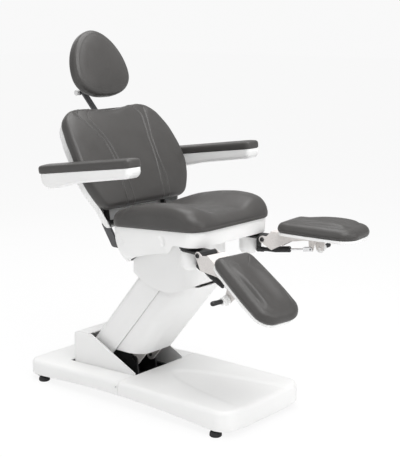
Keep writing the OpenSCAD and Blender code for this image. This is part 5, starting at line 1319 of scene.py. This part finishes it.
class CHAIR_OT_stage(bpy.types.Operator):
    """Set the floor, the lights and the camera"""
    bl_idname = "chair.stage"
    bl_label = "Stage"

    def execute(self, context):
        scene = context.scene
        stage = scene.chair_stage
        self.floor(scene, stage)
        self.lights(scene, stage)
        self.world(scene)
        self.camera(scene, stage)
        scene.view_settings.view_transform = "Standard"
        return {"FINISHED"}

    def floor(self, scene, stage):
        finish, tree, surface = new_finish("pale_floor")
        coords = tree.nodes.new("ShaderNodeTexCoord")
        tree.links.new(mottled(tree, coords, stage.floor, *FLOOR["mottle"]),
                       surface.inputs["Base Color"])
        set_up(surface, Roughness=FLOOR["roughness"], Specular_IOR_Level=FLOOR["specular"])
        path = tree.nodes.new("ShaderNodeLightPath")
        seen = tree.nodes.new("ShaderNodeMath")
        seen.operation = "MAXIMUM"
        tree.links.new(path.outputs["Is Camera Ray"], seen.inputs[0])
        tree.links.new(path.outputs["Is Glossy Ray"], seen.inputs[1])
        share = tree.nodes.new("ShaderNodeMath")
        share.operation = "MULTIPLY"
        share.inputs[1].default_value = FLOOR["glow"]
        tree.links.new(seen.outputs[0], share.inputs[0])
        shader_mix(tree, share.outputs[0], surface.outputs["BSDF"],
                   add_node(tree, "Emission", Strength=1.0).outputs["Emission"],
                   tree.nodes["Material Output"].inputs["Surface"])
        mesh = bpy.data.meshes.new("floor")
        corners = [(x * FLOOR["reach"], y * FLOOR["reach"], 0.0)
                   for x, y in ((-1, -1), (1, -1), (1, 1), (-1, 1))]
        mesh.from_pydata(corners, [], [(0, 1, 2, 3)])
        floor = bpy.data.objects.new("floor", mesh)
        scene.collection.objects.link(floor)
        floor.data.materials.append(finish)

    def lights(self, scene, stage):
        for name, power in (("key", stage.key), ("side", SIDE_POWER), ("fill", stage.fill),
                            ("top", TOP_POWER), ("rear", REAR_POWER)):
            size, place = LAMPS[name]
            light = bpy.data.lights.new(f"{name}_light", "AREA")
            light.shape = "RECTANGLE"
            light.size, light.size_y = size
            light.energy = power
            holder = bpy.data.objects.new(f"{name}_light", light)
            scene.collection.objects.link(holder)
            holder.location = place
            aim = Vector(CHAIR_MIDDLE) - Vector(place)
            holder.rotation_euler = aim.to_track_quat("-Z", "Y").to_euler()

    def world(self, scene):
        world = bpy.data.worlds.new("studio")
        scene.world = world
        world.use_nodes = True
        tree = world.node_tree
        soft = set_up(tree.nodes["Background"], Color=(1, 1, 1, 1), Strength=SOFT_LIGHT)
        bright = add_node(tree, "Background", Color=(BRIGHT_GREY, BRIGHT_GREY, BRIGHT_GREY, 1),
                          Strength=1.0)
        path = tree.nodes.new("ShaderNodeLightPath")
        shader_mix(tree, path.outputs["Is Camera Ray"], soft.outputs[0], bright.outputs[0],
                   tree.nodes["World Output"].inputs["Surface"])

    def camera(self, scene, stage):
        lens = bpy.data.cameras.new("view")
        lens.lens = stage.lens
        holder = bpy.data.objects.new("view", lens)
        scene.collection.objects.link(holder)
        holder.location = CAMERA_PLACE
        aim = Vector(CAMERA_AIM) - holder.location
        holder.rotation_euler = aim.to_track_quat("-Z", "Y").to_euler()
        scene.camera = holder


STEPS = (CHAIR_OT_cad_finishes, CHAIR_OT_base_covers, CHAIR_OT_seat_shell,
         CHAIR_OT_back_shell, CHAIR_OT_seat_cushion, CHAIR_OT_back_cushion,
         CHAIR_OT_headrest_cushion, CHAIR_OT_arm_bodies, CHAIR_OT_arm_pads,
         CHAIR_OT_leg_cushions, CHAIR_OT_release_handles, CHAIR_OT_gas_boots,
         CHAIR_OT_fasteners, CHAIR_OT_headrest_knob, CHAIR_OT_stage)
GROUPS = (ChairUpholstery, ChairFinishes, ChairStage)


class CHAIR_PT_build(bpy.types.Panel):
    """Lists the chair's building steps"""
    bl_label = "Podiatry Chair"
    bl_idname = "CHAIR_PT_build"
    bl_space_type = "VIEW_3D"
    bl_region_type = "UI"
    bl_category = "Chair"

    def draw(self, context):
        for step in STEPS:
            self.layout.operator(step.bl_idname)


def register():
    for kind in GROUPS + STEPS + (CHAIR_PT_build,):
        bpy.utils.register_class(kind)
    bpy.types.Scene.chair_upholstery = PointerProperty(type=ChairUpholstery)
    bpy.types.Scene.chair_finishes = PointerProperty(type=ChairFinishes)
    bpy.types.Scene.chair_stage = PointerProperty(type=ChairStage)


def unregister():
    del bpy.types.Scene.chair_stage
    del bpy.types.Scene.chair_finishes
    del bpy.types.Scene.chair_upholstery
    for kind in reversed(GROUPS + STEPS + (CHAIR_PT_build,)):
        bpy.utils.unregister_class(kind)


def main():
    register()
    for step in STEPS:
        group, call = step.bl_idname.split(".")
        getattr(getattr(bpy.ops, group), call)()


if __name__ == "__main__":
    main()
